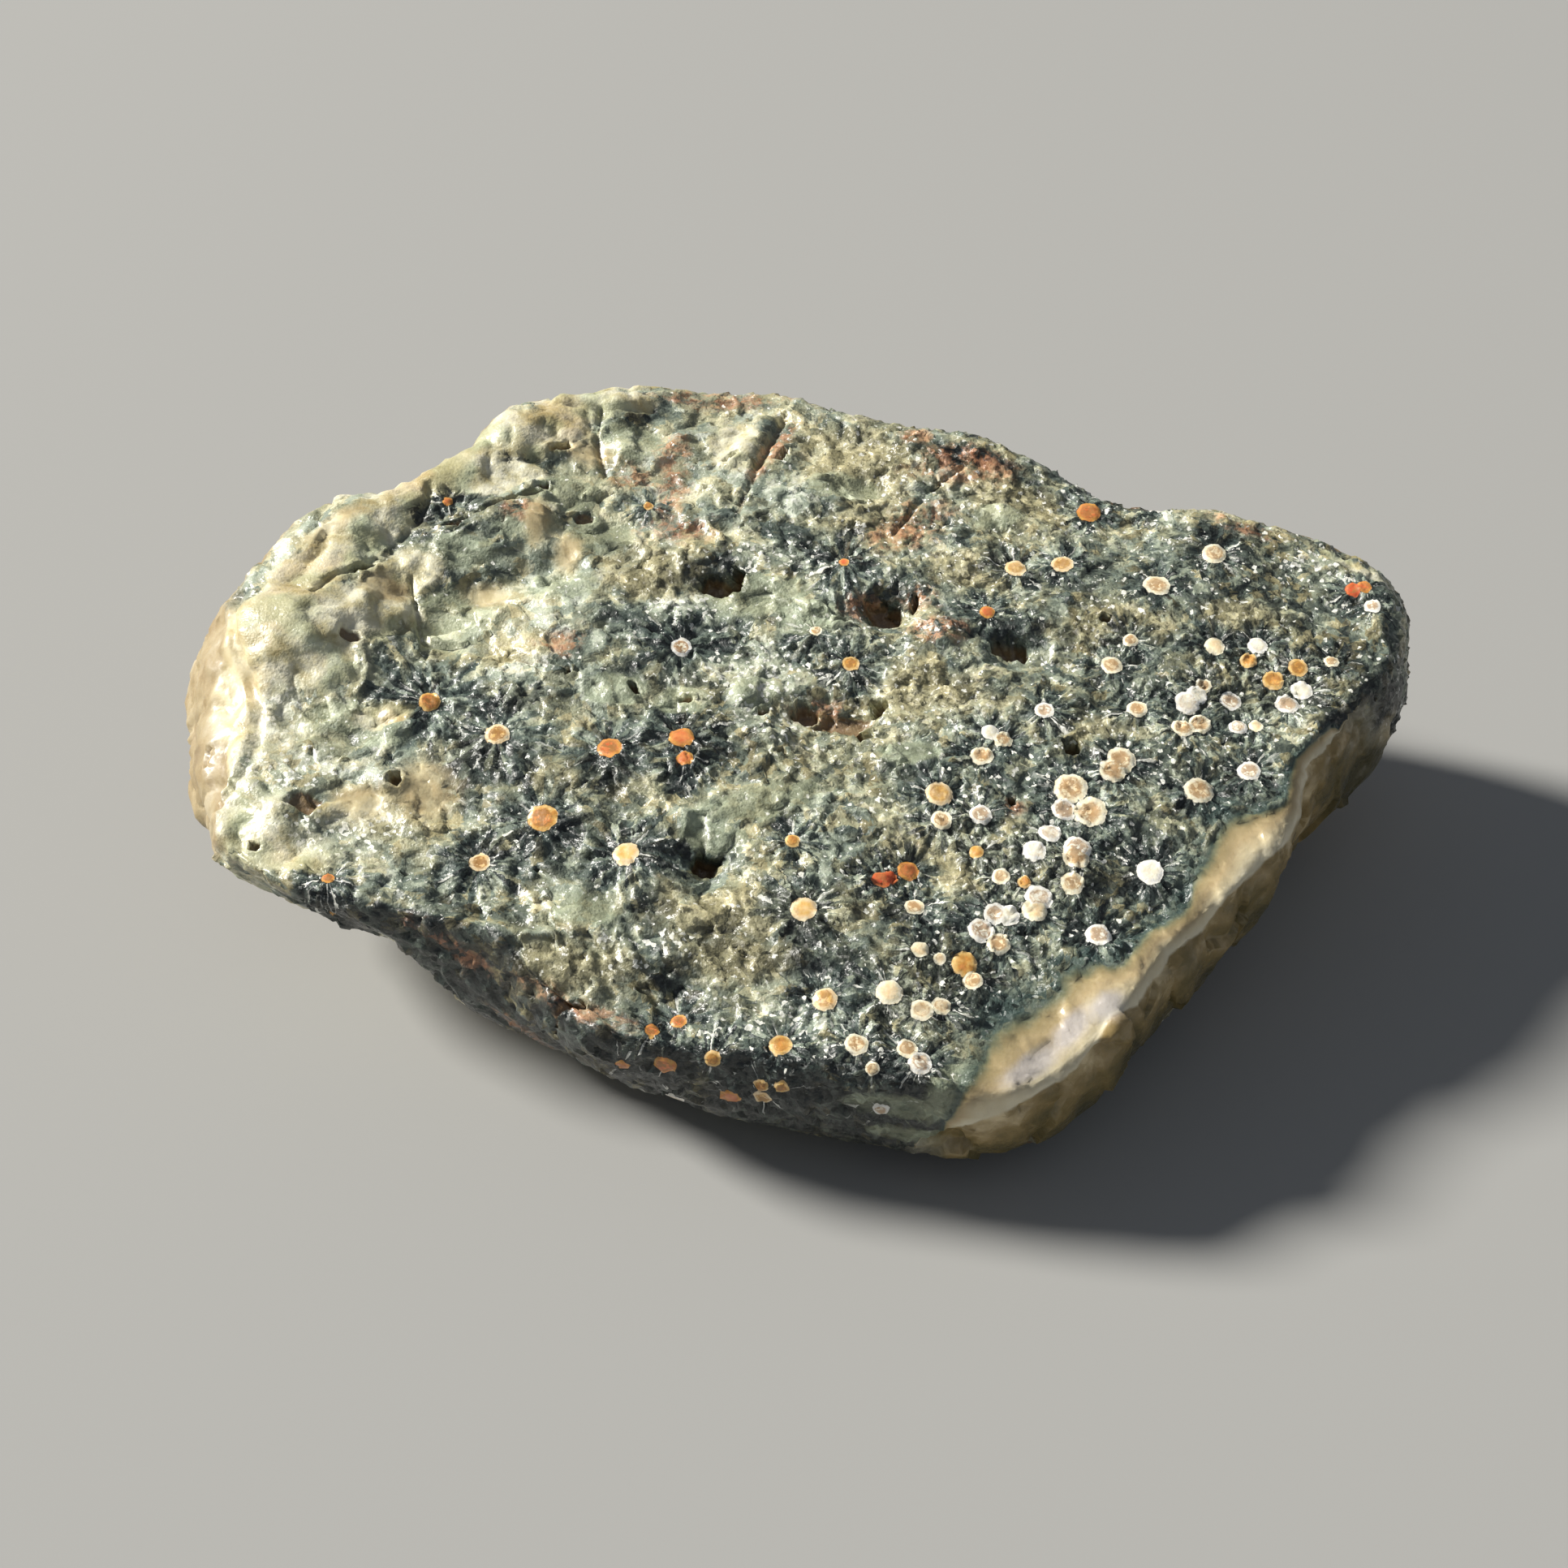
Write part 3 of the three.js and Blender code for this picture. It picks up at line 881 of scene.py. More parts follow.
    def band(self, points: Array, normals: Array) -> Array:
        """Where each point lies across the pale band.

        Args:
            points: Rows in millimetres.
            normals: Outward directions of the broad surface there.

        Returns:
            Rows of: the place across, 0 on the crest and 1 at the inner edge, less than 0 down the
            wall; and how surely the point belongs to the band or the wall under it.
        """
        places, scale = self.placer.viewpoint.picture(points)
        best = np.full(len(points), FAR)
        across = np.full(len(points), self.MOST_ACROSS)
        beyond = np.zeros(len(points))
        last = len(BAND) - 2
        for index, (first, second) in enumerate(zip(BAND, BAND[1:])):
            start = np.array([first.right, first.down], dtype=float)
            way = np.array([second.right, second.down]) - start
            offset = places - start
            share = offset @ way / (way @ way)
            held = np.clip(share, 0, 1)
            gap = np.linalg.norm(offset - held[:, None] * way, axis=1) / scale
            width = first.width_mm + (second.width_mm - first.width_mm) * held
            side = np.sign(way[0] * offset[:, 1] - way[1] * offset[:, 0])
            closer = gap < best
            best = np.where(closer, gap, best)
            reach = np.where(side > 0, width, self.WALL_REACH_MM)
            across = np.where(closer, side * gap / reach, across)
            over = np.maximum(-share, 0) * (index == 0) + np.maximum(share - 1, 0) * (index == last)
            beyond = np.where(closer, over * np.linalg.norm(way) / scale, beyond)
        seen = smooth(self.BAND_SEEN, self.placer.facing(points, normals))
        sure = seen * (1 - smooth(self.BAND_FADE_MM, beyond))
        return np.stack([np.clip(across, -self.MOST_ACROSS, self.MOST_ACROSS), sure], axis=1)

    def orbs(self) -> list[SeatedOrb]:
        """Sets the orbs that are seen on the stone, then scatters more on the hidden faces.

        Returns:
            Every orb on its seat.
        """
        seated = []
        for orb in ORBS:
            seat = self.placer.seat(orb.right, orb.down)
            chance = float(self.source.random())
            radius, halo = orb.radius_mm * self.ORB_SCALE, orb.halo_mm * self.HALO_SCALE
            seated.append(SeatedOrb(seat, radius, orb.look.value, halo, chance))
        return seated + self._hidden_orbs(seated)

    def _hidden_orbs(self, seen: list[SeatedOrb]) -> list[SeatedOrb]:
        """More orbs, in loose clusters, on the faces that the camera can't see.

        Args:
            seen: The orbs already set.

        Returns:
            The new orbs.
        """
        middles, outwards = self.placer.scatter(self.HIDDEN_ORB_TRIES, self.source)
        rind = self.zones(middles, outwards)[Zone.RIND]
        band = self.band(middles, outwards)
        rind = np.maximum(rind, band[:, 1] * 2 - 0.5)
        crowd = self.grain.fractal(middles, self.CROWD)
        facing = self.placer.facing(middles, outwards)
        taken = [orb.seat.middle for orb in seen]
        found: list[SeatedOrb] = []
        for middle, outward, crust, crowded, face_on in zip(middles, outwards, rind, crowd, facing):
            chance = float(self.source.random())
            radius = float(self.source.uniform(*self.HIDDEN_ORB_RADII_MM))
            look = self.HIDDEN_ORB_LOOKS[int(self.source.integers(len(self.HIDDEN_ORB_LOOKS)))]
            if face_on > self.MOST_FACING or crust > self.MOST_RIND:
                continue
            if crowded < self.LEAST_CROWD or middle[2] < self.LEAST_HEIGHT_MM:
                continue
            gap = min(np.linalg.norm(np.array(taken) - middle, axis=1))
            if gap < self.LEAST_GAP_MM + self.MORE_GAP_MM * chance:
                continue
            taken.append(middle)
            seat = self.placer.frame_at(middle, outward)
            halo = self.HIDDEN_ORB_HALO_MM + chance
            found.append(SeatedOrb(seat, radius, look.value, halo, chance))
        return found


# ---- The skin of the stone ----


@dataclass(frozen=True)
class Skin:
    """Sizes of the relief and of the skin's mesh. Lengths are in millimetres.

    Attributes:
        waviness: Height of broad waves over the whole stone.
        chip: Height of the coarse crystal faces.
        shard: Height of the fine crystal faces.
        chip_width: Width of a coarse crystal face.
        shard_width: Width of a fine crystal face.
        crumple: Height of the waves between crystal faces.
        plate: Height of the large glassy faces.
        plate_width: Width of one.
        pillow: Height of the rounded rind.
        pillow_width: Width of one of its lobes.
        knob_width: Width of the small lobes on those.
        rind_wave: Height of the waves on the rind.
        rind_grit: Height of the small lobes and of the grit on the rind.
        ripple: Height of the waves on the band.
        paving: Height of the flat faces of the band.
        paving_width: Width of one.
        scallop: Height of the broken faces of the wall under the band.
        scallop_width: Width of one.
        spray: Height of the blades round an orb.
        orb_rise: How far an orb stands proud.
        orb_groove: Depth of the groove round it.
        orb_dip: Depth of the deepest hollow in the middle of an orb.
        swell_depth: How deep a swell reaches.
        pit_lip: How far the skin rises round a pit.
        patch_depth: How deep a patch of mineral reaches.
        base_flat: Below this height the resting face keeps almost no relief.
        base_lift: The most that the resting face rises.
        triangles: The most triangles the finished skin may have.
        levels: How many times the frame solid is subdivided.
        sharp_deg: Creases turned more than this show as edges.
        seed: Starts every random draw.
    """

    waviness: float = 0.28
    chip: float = 0.26
    shard: float = 0.15
    chip_width: float = 1.25
    shard_width: float = 0.6
    crumple: float = 0.10
    plate: float = 0.34
    plate_width: float = 2.6
    pillow: float = 0.50
    pillow_width: float = 5.4
    knob_width: float = 2.0
    rind_wave: float = 0.24
    rind_grit: float = 0.10
    ripple: float = 0.14
    paving: float = 0.10
    paving_width: float = 3.2
    scallop: float = 0.52
    scallop_width: float = 2.8
    spray: float = 0.13
    orb_rise: float = 0.06
    orb_groove: float = 0.05
    orb_dip: float = 0.08
    swell_depth: float = 4.0
    pit_lip: float = 0.08
    patch_depth: float = 4.0
    base_flat: float = 0.35
    base_lift: float = 0.25
    triangles: int = 196000
    levels: int = 3
    sharp_deg: float = 34.0
    seed: int = 11


class Relief:
    """Moves the points of the dense skin, and remembers which crystal each one belongs to.

    A Step is where a smooth change starts and where it is complete.
    """

    STIR_WIDTH_MM = 1.5
    STIR_SHIFTS_MM = (0.0, 19.0, 43.0)
    SWIRLS = (Cloud(5.0, 5.0, 3), Cloud(1.5, 31.0, 3), Cloud(2.8, 71.0, 3))
    BEND = 0.5
    PILLOW_BEND = 1.2
    KNOB_BEND = 0.8
    WAVES = Cloud(6.5)
    RIND_WAVES = Cloud(2.6, 11.0)
    RIND_GRIT = Cloud(0.8)
    RIPPLES = Cloud(2.0, 0.0, 3)

    RAGGED_EDGE = 0.2
    IN_RIND: Step = (-0.15, 0.25)
    IN_SMOOTH: Step = (-0.1, 0.3)
    PAST_BAND: Step = (0.85, 1.1)
    OVER_CREST: Step = (0.05, -0.15)
    UNDERSIDE: Step = (-0.2, -0.7)
    COARSE_X: Step = (14.0, -8.0)
    TALL = np.array([1.0, 1.0, 0.4])
    PAVING_SHIFT_MM = 7.0

    DISC_EDGE: Step = (0.9, 1.25)
    SWELL_EDGE: Step = (0.15, 1.25)
    RISE_EDGE: Step = (0.85, 1.08)
    GROOVE_INNER: Step = (0.9, 1.1)
    GROOVE_OUTER: Step = (1.12, 1.4)
    DIP_EDGE: Step = (0.1, 0.5)
    ORB_DEPTH_MM = 2.0
    ORB_REACH = 1.5

    SPRAY_DEPTH_MM = 2.5
    BLADES_ROUND = 4.2
    BLADE_DRIFT = 0.5
    BLADE_TURN = 37
    SPRAY_START: Step = (-0.1, 0.1)
    SPRAY_END: Step = (0.45, 1.0)
    OWN_BLADE = 0.35

    PIT_SIDES = 5
    PIT_TURN = 1.1
    PIT_CORNER = 1.12
    PIT_ROUND = 0.8
    PIT_REACH = 2.2
    PIT_REACH_MM = 3.0
    PIT_EDGE: Step = (0.68, 1.05)
    LIP_START: Step = (0.9, 1.15)
    LIP_END: Step = (1.2, 1.8)
    RAGGED_MM = 0.8
    CRACK_EDGE: Step = (0.35, 1.0)
    FULL_HOLLOW_MM = 0.8

    def __init__(self, skin: Skin, placer: Placer, points: Array, normals: Array) -> None:
        """Lays out the noise that the shapes share.

        Args:
            skin: Sizes of the relief.
            placer: Finds places on the stone.
            points: Rest points, in millimetres.
            normals: Outward directions there.
        """
        self.skin = skin
        self.placer = placer
        self.points = points
        self.normals = normals
        self.grain = Grain(skin.seed)
        self.detail = Grain(skin.seed + 1)
        stirred = [self.detail.waves(points + shift, self.STIR_WIDTH_MM)
                   for shift in self.STIR_SHIFTS_MM]
        self.stir = np.stack(stirred, axis=1)
        sources = (self.grain, self.detail, self.grain)
        swirled = [source.fractal(points, cloud) for source, cloud in zip(sources, self.SWIRLS)]
        self.swirl = np.stack(swirled, axis=1)
        self.bent = points + self.stir * self.BEND
        self.chips = self.grain.cells(self.bent, skin.chip_width)
        self.shards = self.detail.cells(self.bent, skin.shard_width)
        self.hollow = np.zeros(len(points))

    def ground(self, zones: dict[Zone, Array], band: Array, wax: Array,
               calm: Array, orbs: list[SeatedOrb]) -> Array:
        """Height of the ground along the normals, before pits, cracks and orbs.

        Args:
            zones: The zone fields.
            band: The band field.
            wax: How waxy the ground is.
            calm: How much the fine crystal faces are flattened.
            orbs: The orbs, which flatten what they lie on.

        Returns:
            Heights in millimetres.
        """
        skin, points, swirl = self.skin, self.points, self.swirl[:, 1]
        edge = swirl * self.RAGGED_EDGE
        rind = smooth(self.IN_RIND, zones[Zone.RIND] + edge)
        paved = (1 - smooth(self.PAST_BAND, band[:, 0] + edge)) * band[:, 1]
        honey = np.maximum(smooth(self.IN_SMOOTH, zones[Zone.HONEY] + edge) * 0.8, paved)
        glass = smooth(self.IN_SMOOTH, zones[Zone.GLASS] + edge)
        disc = self._discs(orbs)
        under = (1 - 0.5 * smooth(self.UNDERSIDE, self.normals[:, 2])) * (1 - 0.85 * disc)
        coarse = (0.68 + 0.3 * smooth(self.COARSE_X, points[:, 0])) * under
        plain = np.clip(1 - rind * 0.93 - honey * 0.85 - glass * 0.75, 0.06, 1) * coarse
        height = skin.waviness * self.grain.fractal(points, self.WAVES)
        height += plain * skin.crumple * swirl * (1 - 0.3 * wax)
        height += plain * skin.chip * self.chips.facets() * (1 - 0.45 * wax)
        height += plain * skin.shard * self.shards.facets() * (1 - calm)
        slabs = self.grain.cells(self.bent, skin.plate_width).facets() * (1 - disc)
        smoothed = np.maximum(glass, np.maximum(wax * 0.6, calm * 0.55))
        height += smoothed * (1 - rind) * skin.plate * slabs
        self._add_rind(height, rind)
        height += honey * skin.ripple * self.grain.fractal(self.bent, self.RIPPLES)
        self._add_wall(height, paved, band)
        return height

    def _add_rind(self, height: Array, rind: Array) -> None:
        """Adds the lobes, waves and grit of the rind.

        Args:
            height: The heights, which are changed.
            rind: How far each point is rind, from 0 to 1.
        """
        skin, points = self.skin, self.points
        lobes = self.grain.lobes(points + self.stir * self.PILLOW_BEND, skin.pillow_width)
        knobs = self.detail.lobes(points + self.stir * self.KNOB_BEND, skin.knob_width)
        height += rind * skin.pillow * (lobes - 0.6)
        height += rind * skin.rind_wave * self.grain.fractal(points, self.RIND_WAVES)
        height += rind * skin.rind_grit * (knobs - 0.5)
        height += rind * skin.rind_grit * self.detail.fractal(points, self.RIND_GRIT)

    def _add_wall(self, height: Array, paved: Array, band: Array) -> None:
        """Adds the flat faces of the band and the broken faces of the wall under it.

        Args:
            height: The heights, which are changed.
            paved: How far each point is band or wall, from 0 to 1.
            band: The band field.
        """
        skin, shift = self.skin, self.PAVING_SHIFT_MM
        under_crest = band[:, 1] * smooth(self.OVER_CREST, band[:, 0])
        flats = self.grain.cells(self.bent + shift, skin.paving_width).facets()
        scallops = self.grain.cells(self.bent * self.TALL + shift, skin.scallop_width).facets()
        height += (paved - under_crest) * skin.paving * flats
        height += under_crest * skin.scallop * scallops

    def _discs(self, orbs: list[SeatedOrb]) -> Array:
        """How far each point is covered by an orb's disc, from 0 to 1.

        Args:
            orbs: Every orb on its seat.

        Returns:
            One value for each point.
        """
        disc = np.zeros(len(self.points))
        for orb in orbs:
            local = orb.seat.local(self.points)
            reach = np.linalg.norm(local, axis=1) / orb.radius_mm
            disc = np.maximum(disc, 1 - smooth(self.DISC_EDGE, reach))
        return disc

    def swells(self) -> Array:
        """Height of the broad rises and hollows that are seen on the stone."""
        height = np.zeros(len(self.points))
        for swell in SWELLS:
            local = self.placer.seat(swell.right, swell.down, swell.turn_deg).local(self.points)
            size = np.array([swell.length_mm, swell.width_mm, self.skin.swell_depth])
            reach = np.linalg.norm(local / size, axis=1)
            height += swell.rise_mm * (1 - smooth(self.SWELL_EDGE, reach))
        return height

    def orbs(self, orbs: list[SeatedOrb]) -> Array:
        """Height that the orbs and the blades round them add.

        Args:
            orbs: Every orb on its seat.

        Returns:
            Heights in millimetres.
        """
        added = np.zeros(len(self.points))
        nearest = np.full(len(self.points), FAR)
        for orb in orbs:
            local = orb.seat.local(self.points)
            span = np.linalg.norm(local[:, :2], axis=1)
            close = (np.abs(local[:, 2]) < self.SPRAY_DEPTH_MM) & (span < orb.radius_mm + orb.halo_mm)
            close &= span < nearest
            nearest[close] = span[close]
            self._blades(orb, local, span, close, added)
        for orb in orbs:
            local = orb.seat.local(self.points)
            reach = np.linalg.norm(local[:, :2], axis=1) / orb.radius_mm
            close = (np.abs(local[:, 2]) < self.ORB_DEPTH_MM) & (reach < self.ORB_REACH)
            inside = reach[close]
            rise = self.skin.orb_rise * (1 - smooth(self.RISE_EDGE, inside))
            groove = self.skin.orb_groove * smooth(self.GROOVE_INNER, inside)
            groove *= 1 - smooth(self.GROOVE_OUTER, inside)
            dip = self.skin.orb_dip * orb.chance**2 * (1 - smooth(self.DIP_EDGE, inside))
            added[close] += rise - groove - dip
        return added

    def _blades(self, orb: SeatedOrb, local: Array, span: Array, close: Array,
                added: Array) -> None:
        """Lays radiating blades round one orb.

        Args:
            orb: The orb.
            local: The points in its frame.
            span: Their distances from its middle.
            close: Which points are its own.
            added: The heights, which are changed.
        """
        rays = local[close].copy()
        rays[:, 2] = 0
        rays /= np.maximum(span[close], 1e-6)[:, None]
        rays *= self.BLADES_ROUND
        rays[:, 2] = span[close] * self.BLADE_DRIFT + orb.chance * self.BLADE_TURN
        found = self.detail.cells(rays, 1.0)
        edge = (span[close] - orb.radius_mm) / orb.halo_mm
        falloff = smooth(self.SPRAY_START, edge) * (1 - smooth(self.SPRAY_END, edge))
        added[close] += self.skin.spray * falloff * found.facets()
        rows = self.shards.row[close]
        strong = falloff > self.OWN_BLADE
        rows[strong] = found.row[strong]
        self.shards.row[close] = rows

    def hollow_out(self, moved: Array) -> Array:
        """Sinks the pits and cracks into the skin.

        Args:
            moved: The points after the relief.

        Returns:
            The new points.
        """
        moved = moved.copy()
        wavy = self.detail.waves(self.points, self.RAGGED_MM) * 0.16
        ragged = wavy + self.shards.pick[:, 1] * 0.22 - 0.11
        turns = np.random.default_rng(self.skin.seed + 5)
        fifths = np.arange(self.PIT_SIDES) * math.tau / self.PIT_SIDES
        for pit in PITS:
            seat = self.placer.seat(pit.right, pit.down, pit.turn_deg)
            local = seat.local(self.points)
            flat = local[:, :2] / np.array([pit.length_mm, pit.width_mm])
            angles = np.sort(turns.uniform(0, self.PIT_TURN, self.PIT_SIDES)) + fifths
            sides = np.stack([np.cos(angles), np.sin(angles)])
            reach = np.maximum((flat @ sides).max(axis=1) * self.PIT_CORNER,
                               np.linalg.norm(flat, axis=1) * self.PIT_ROUND)
            close = (reach < self.PIT_REACH) & (np.abs(local[:, 2]) < self.PIT_REACH_MM)
            edge = reach[close] + ragged[close]
            sink = 1 - smooth(self.PIT_EDGE, edge)
            lip = smooth(self.LIP_START, edge) * (1 - smooth(self.LIP_END, edge))
            drop = sink * (pit.depth_mm + 0.5 * ragged[close]) - lip * self.skin.pit_lip
            lean = seat.along * (sink**2 * pit.lean_mm)[:, None]
            moved[close] += lean - seat.outward * drop[:, None]
            self.hollow[close] = np.maximum(self.hollow[close], sink)
        for crack in CRACKS:
            distance, outward = self._crack_distance(crack)
            sink = 1 - smooth(self.CRACK_EDGE, distance / crack.width_mm + ragged * 0.9)
            moved -= outward * (sink * crack.depth_mm)[:, None]
            share = min(1.0, crack.depth_mm / self.FULL_HOLLOW_MM)
            self.hollow = np.maximum(self.hollow, sink * share)
        return moved

    def _crack_distance(self, crack: Crack) -> tuple[Array, Array]:
        """How far each point lies from a crack's course, and the outward direction on the course.

        Args:
            crack: The crack.

        Returns:
            One distance for each point, and the direction.
        """
        seats = [self.placer.seat(right, down) for right, down in crack.course]
        best = np.full(len(self.points), FAR)
        for first, last in zip(seats, seats[1:]):
            way = last.middle - first.middle
            along = np.clip((self.points - first.middle) @ way / (way @ way), 0, 1)
            away = self.points - first.middle - along[:, None] * way
            best = np.minimum(best, np.linalg.norm(away, axis=1))
        outward = np.mean([seat.outward for seat in seats], axis=0)
        return best, outward / np.linalg.norm(outward)

    def settle(self, moved: Array) -> Array:
        """Keeps the resting face on the ground and everything above it.

        Args:
            moved: The moved points.

        Returns:
            The settled points.
        """
        settled = moved.copy()
        rest = self.points[:, 2]
        footprint = rest < self.skin.base_flat
        lifted = np.clip(moved[:, 2] - rest, 0, self.skin.base_lift) + rest
        settled[footprint, 2] = lifted[footprint]
        settled[:, 2] = np.maximum(settled[:, 2], 0.0)
        return settled


class StoneBody:
    """Grows the detailed skin from the frame solid and stores on it what lies where."""

    WAX_CALM = 0.65
    LEFT_CALM = 0.6
    SPRAY_SCORE = 1.0
    ORB_SCORE = -10
    ORB_CLEAR_MM = 0.34
    ORB_CLEAR = 1.15
    LOOSE_CELL_MM = 2.6
    LOOSE_RADIUS_MM = 0.7
    LOOSE_HALO_MM = 2.0

    def __init__(self, node: bpy.types.Object, viewpoint: Viewpoint, skin: Skin) -> None:
        """Measures the frame solid.

        Args:
            node: The frame solid, which isn't changed.
            viewpoint: The camera that places are given through.
            skin: Sizes of the relief.
        """
        self.skin = skin
        self.placer = Placer(node, viewpoint)
        self.ground = Ground(self.placer, skin.patch_depth, skin.seed)

    @staticmethod
    def _rows(items: bpy.types.bpy_prop_collection, name: str, kind: type = float) -> Array:
        """Reads three numbers from each item of a mesh.

        Args:
            items: Its vertices, normals or faces.
            name: What to read.
            kind: Of which type the numbers are.

        Returns:
            One row for each item.
        """
        flat = np.empty(len(items) * 3, dtype=kind)
        items.foreach_get(name, flat)
        return flat.reshape(-1, 3)

    def _dense(self) -> bpy.types.Object:
        """The merged frame solid, subdivided, as a loose object in millimetres."""
        levels = self.skin.levels
        loose = bpy.data.objects.new("dense", self.placer.mesh)
        bpy.context.scene.collection.objects.link(loose)
        rounded = loose.modifiers.new("rounded", "SUBSURF")
        rounded.levels = levels
        rounded.render_levels = levels
        return self._baked(loose)

    @staticmethod
    def _baked(loose: bpy.types.Object) -> bpy.types.Object:
        """Turns an object's modifiers into plain mesh.

        Args:
            loose: The object.

        Returns:
            The same object.
        """
        graph = bpy.context.evaluated_depsgraph_get()
        graph.update()
        mesh = bpy.data.meshes.new_from_object(loose.evaluated_get(graph))
        loose.modifiers.clear()
        loose.data = mesh
        return loose

    def build(self) -> bpy.types.Object:
        """Makes the finished skin.

        Returns:
            The piece, in metres, with its fields stored on it.
        """
        loose = self._dense()
        rest = self._rows(loose.data.vertices, "co")
        normals = self._rows(loose.data.vertex_normals, "vector", np.float32).astype(float)
        zones = self.ground.zones(rest, normals)
        band = self.ground.band(rest, normals)
        orbs = self.ground.orbs()
        log.info("%d points, %d orbs", len(rest), len(orbs))
        relief = Relief(self.skin, self.placer, rest, normals)
        wax = self.ground.wax(rest, zones)
        band = np.column_stack([band, wax])
        wall_shade_and_left = self.ground.wall_shade_and_left(rest, normals)
        calm = np.maximum(wax * self.WAX_CALM, wall_shade_and_left[:, 1] * self.LEFT_CALM)
        height = relief.ground(zones, band, wax, calm, orbs) + relief.swells() + relief.orbs(orbs)
        moved = relief.settle(relief.hollow_out(rest + normals * height[:, None]))
        loose.data.vertices.foreach_set("co", moved.ravel())
        loose.data.update()
        thinned = self._thin(loose)
        log.info("%d faces after thinning", len(thinned.data.polygons))
        self._store(thinned.data, moved, zones, band, wall_shade_and_left, relief)
        self._store_sprays(thinned.data, orbs)
        return self._finish(thinned)

    def _thin(self, loose: bpy.types.Object) -> bpy.types.Object:
        """Thins the mesh to the budget of triangles, keeping detail where the shape needs it.

        Args:
            loose: The moved skin.

        Returns:
            The same object.
        """
        cut = loose.modifiers.new("cut", "TRIANGULATE")
        cut.quad_method = "SHORTEST_DIAGONAL"
        count = len(loose.data.polygons) * 2
        if count > self.skin.triangles:
            thin = loose.modifiers.new("thin", "DECIMATE")
            thin.ratio = self.skin.triangles / count
        return self._baked(loose)

    def _store(self, mesh: bpy.types.Mesh, dense: Array, zones: dict[Zone, Array],
               band: Array, wall_shade_and_left: Array, relief: Relief) -> None:
        """Stores the fields on the finished mesh.

        Args:
            mesh: The thinned mesh.
            dense: The moved points of the dense mesh.
            zones: The zone fields on the dense mesh.
            band: The band field on the dense mesh.
            wall_shade_and_left: The painted shade of the outer walls and the nearness of the left end,
                on the dense mesh.
            relief: The relief, which holds the noise and the crystals.
        """
        finder = KDTree(len(dense))
        for index, point in enumerate(dense):
            finder.insert(point, index)
        finder.balance()
        source = np.array([finder.find(vertex.co)[1] for vertex in mesh.vertices])
        stored = {
            "zone_a": (zones[Zone.RIND], zones[Zone.GLASS], zones[Zone.RUST]),
            "zone_b": (zones[Zone.HONEY], zones[Zone.MOTTLE], zones[Zone.FROST]),
            "zone_c": (zones[Zone.LAVENDER], zones[Zone.DARK], relief.hollow),
            "band": band.T,
            "wall_shade_and_left": wall_shade_and_left.T,
            "stir": relief.stir.T,
            "swirl": relief.swirl.T,
        }
        for name, columns in stored.items():
            self._write(mesh, name, "POINT", np.stack(columns, axis=1)[source])
        corners = self._rows(mesh.polygons, "vertices", np.int64)
        for name, cells, grain in (("chip", relief.chips, relief.grain),
                                   ("shard", relief.shards, relief.detail)):
            rows = cells.row[source][corners]
            chosen = np.where(rows[:, 1] == rows[:, 2], rows[:, 1], rows[:, 0])
            self._write(mesh, name, "FACE", grain.picks[chosen][:, 1:])

    @staticmethod
    def _write(mesh: bpy.types.Mesh, name: str, domain: str, rows: Array) -> None:
        """Writes rows of three numbers as a named field of the mesh."""
        layer = mesh.attributes.new(name, "FLOAT_VECTOR", domain)
        layer.data.foreach_set("vector", rows.astype(np.float32).ravel())

    def _store_sprays(self, mesh: bpy.types.Mesh, orbs: list[SeatedOrb]) -> None:
        """Gives every face the spray of crystals it belongs to.

        Args:
            mesh: The finished mesh, in millimetres.
            orbs: Every orb on its seat.
        """
        points = self._rows(mesh.vertices, "co")
        corners = self._rows(mesh.polygons, "vertices", np.int64)
        middles = points[corners].mean(axis=1)
        best = np.full(len(middles), self.SPRAY_SCORE)
        owner = np.full(len(middles), -1)
        for index, orb in enumerate(orbs):
            distance = np.linalg.norm(middles - orb.seat.middle, axis=1)
            score = distance / (orb.radius_mm + orb.halo_mm)
            nearest = np.linalg.norm(points[corners] - orb.seat.middle, axis=2).min(axis=1)
            claimed = distance - orb.radius_mm < self.ORB_CLEAR_MM
            claimed |= nearest < orb.radius_mm * self.ORB_CLEAR
            score[claimed] = self.ORB_SCORE + (distance[claimed] - orb.radius_mm)
            better = score < best
            best[better] = score[better]
            owner[better] = index
        loose = self.ground.grain.cells(middles, self.LOOSE_CELL_MM)
        count = len(middles)
        nothing = np.zeros(count)
        hub = middles - loose.away * self.LOOSE_CELL_MM
        kind = np.stack([loose.pick[:, 3], loose.pick[:, 0], nothing], axis=1)
        size = np.tile([self.LOOSE_RADIUS_MM, self.LOOSE_HALO_MM, 0.0], (count, 1))
        up = np.tile([0.0, 0.0, 1.0], (count, 1))
        taken = owner >= 0
        mine = owner[taken]
        hub[taken] = np.array([orb.seat.middle for orb in orbs])[mine]
        up[taken] = np.array([orb.seat.outward for orb in orbs])[mine]
        kind[taken] = np.array([[orb.tint, orb.chance, 1.0] for orb in orbs])[mine]
        size[taken] = np.array([[orb.radius_mm, orb.halo_mm, 0.0] for orb in orbs])[mine]
        rays = points[corners] - hub[:, None, :]
        lift = np.einsum("fck,fk->fc", rays[taken], up[taken])
        rays[taken] -= lift[:, :, None] * up[taken][:, None, :]
        self._write(mesh, "spray", "CORNER", rays)
        self._write(mesh, "spray_up", "FACE", up)
        self._write(mesh, "spray_kind", "FACE", kind)
        self._write(mesh, "spray_size", "FACE", size)

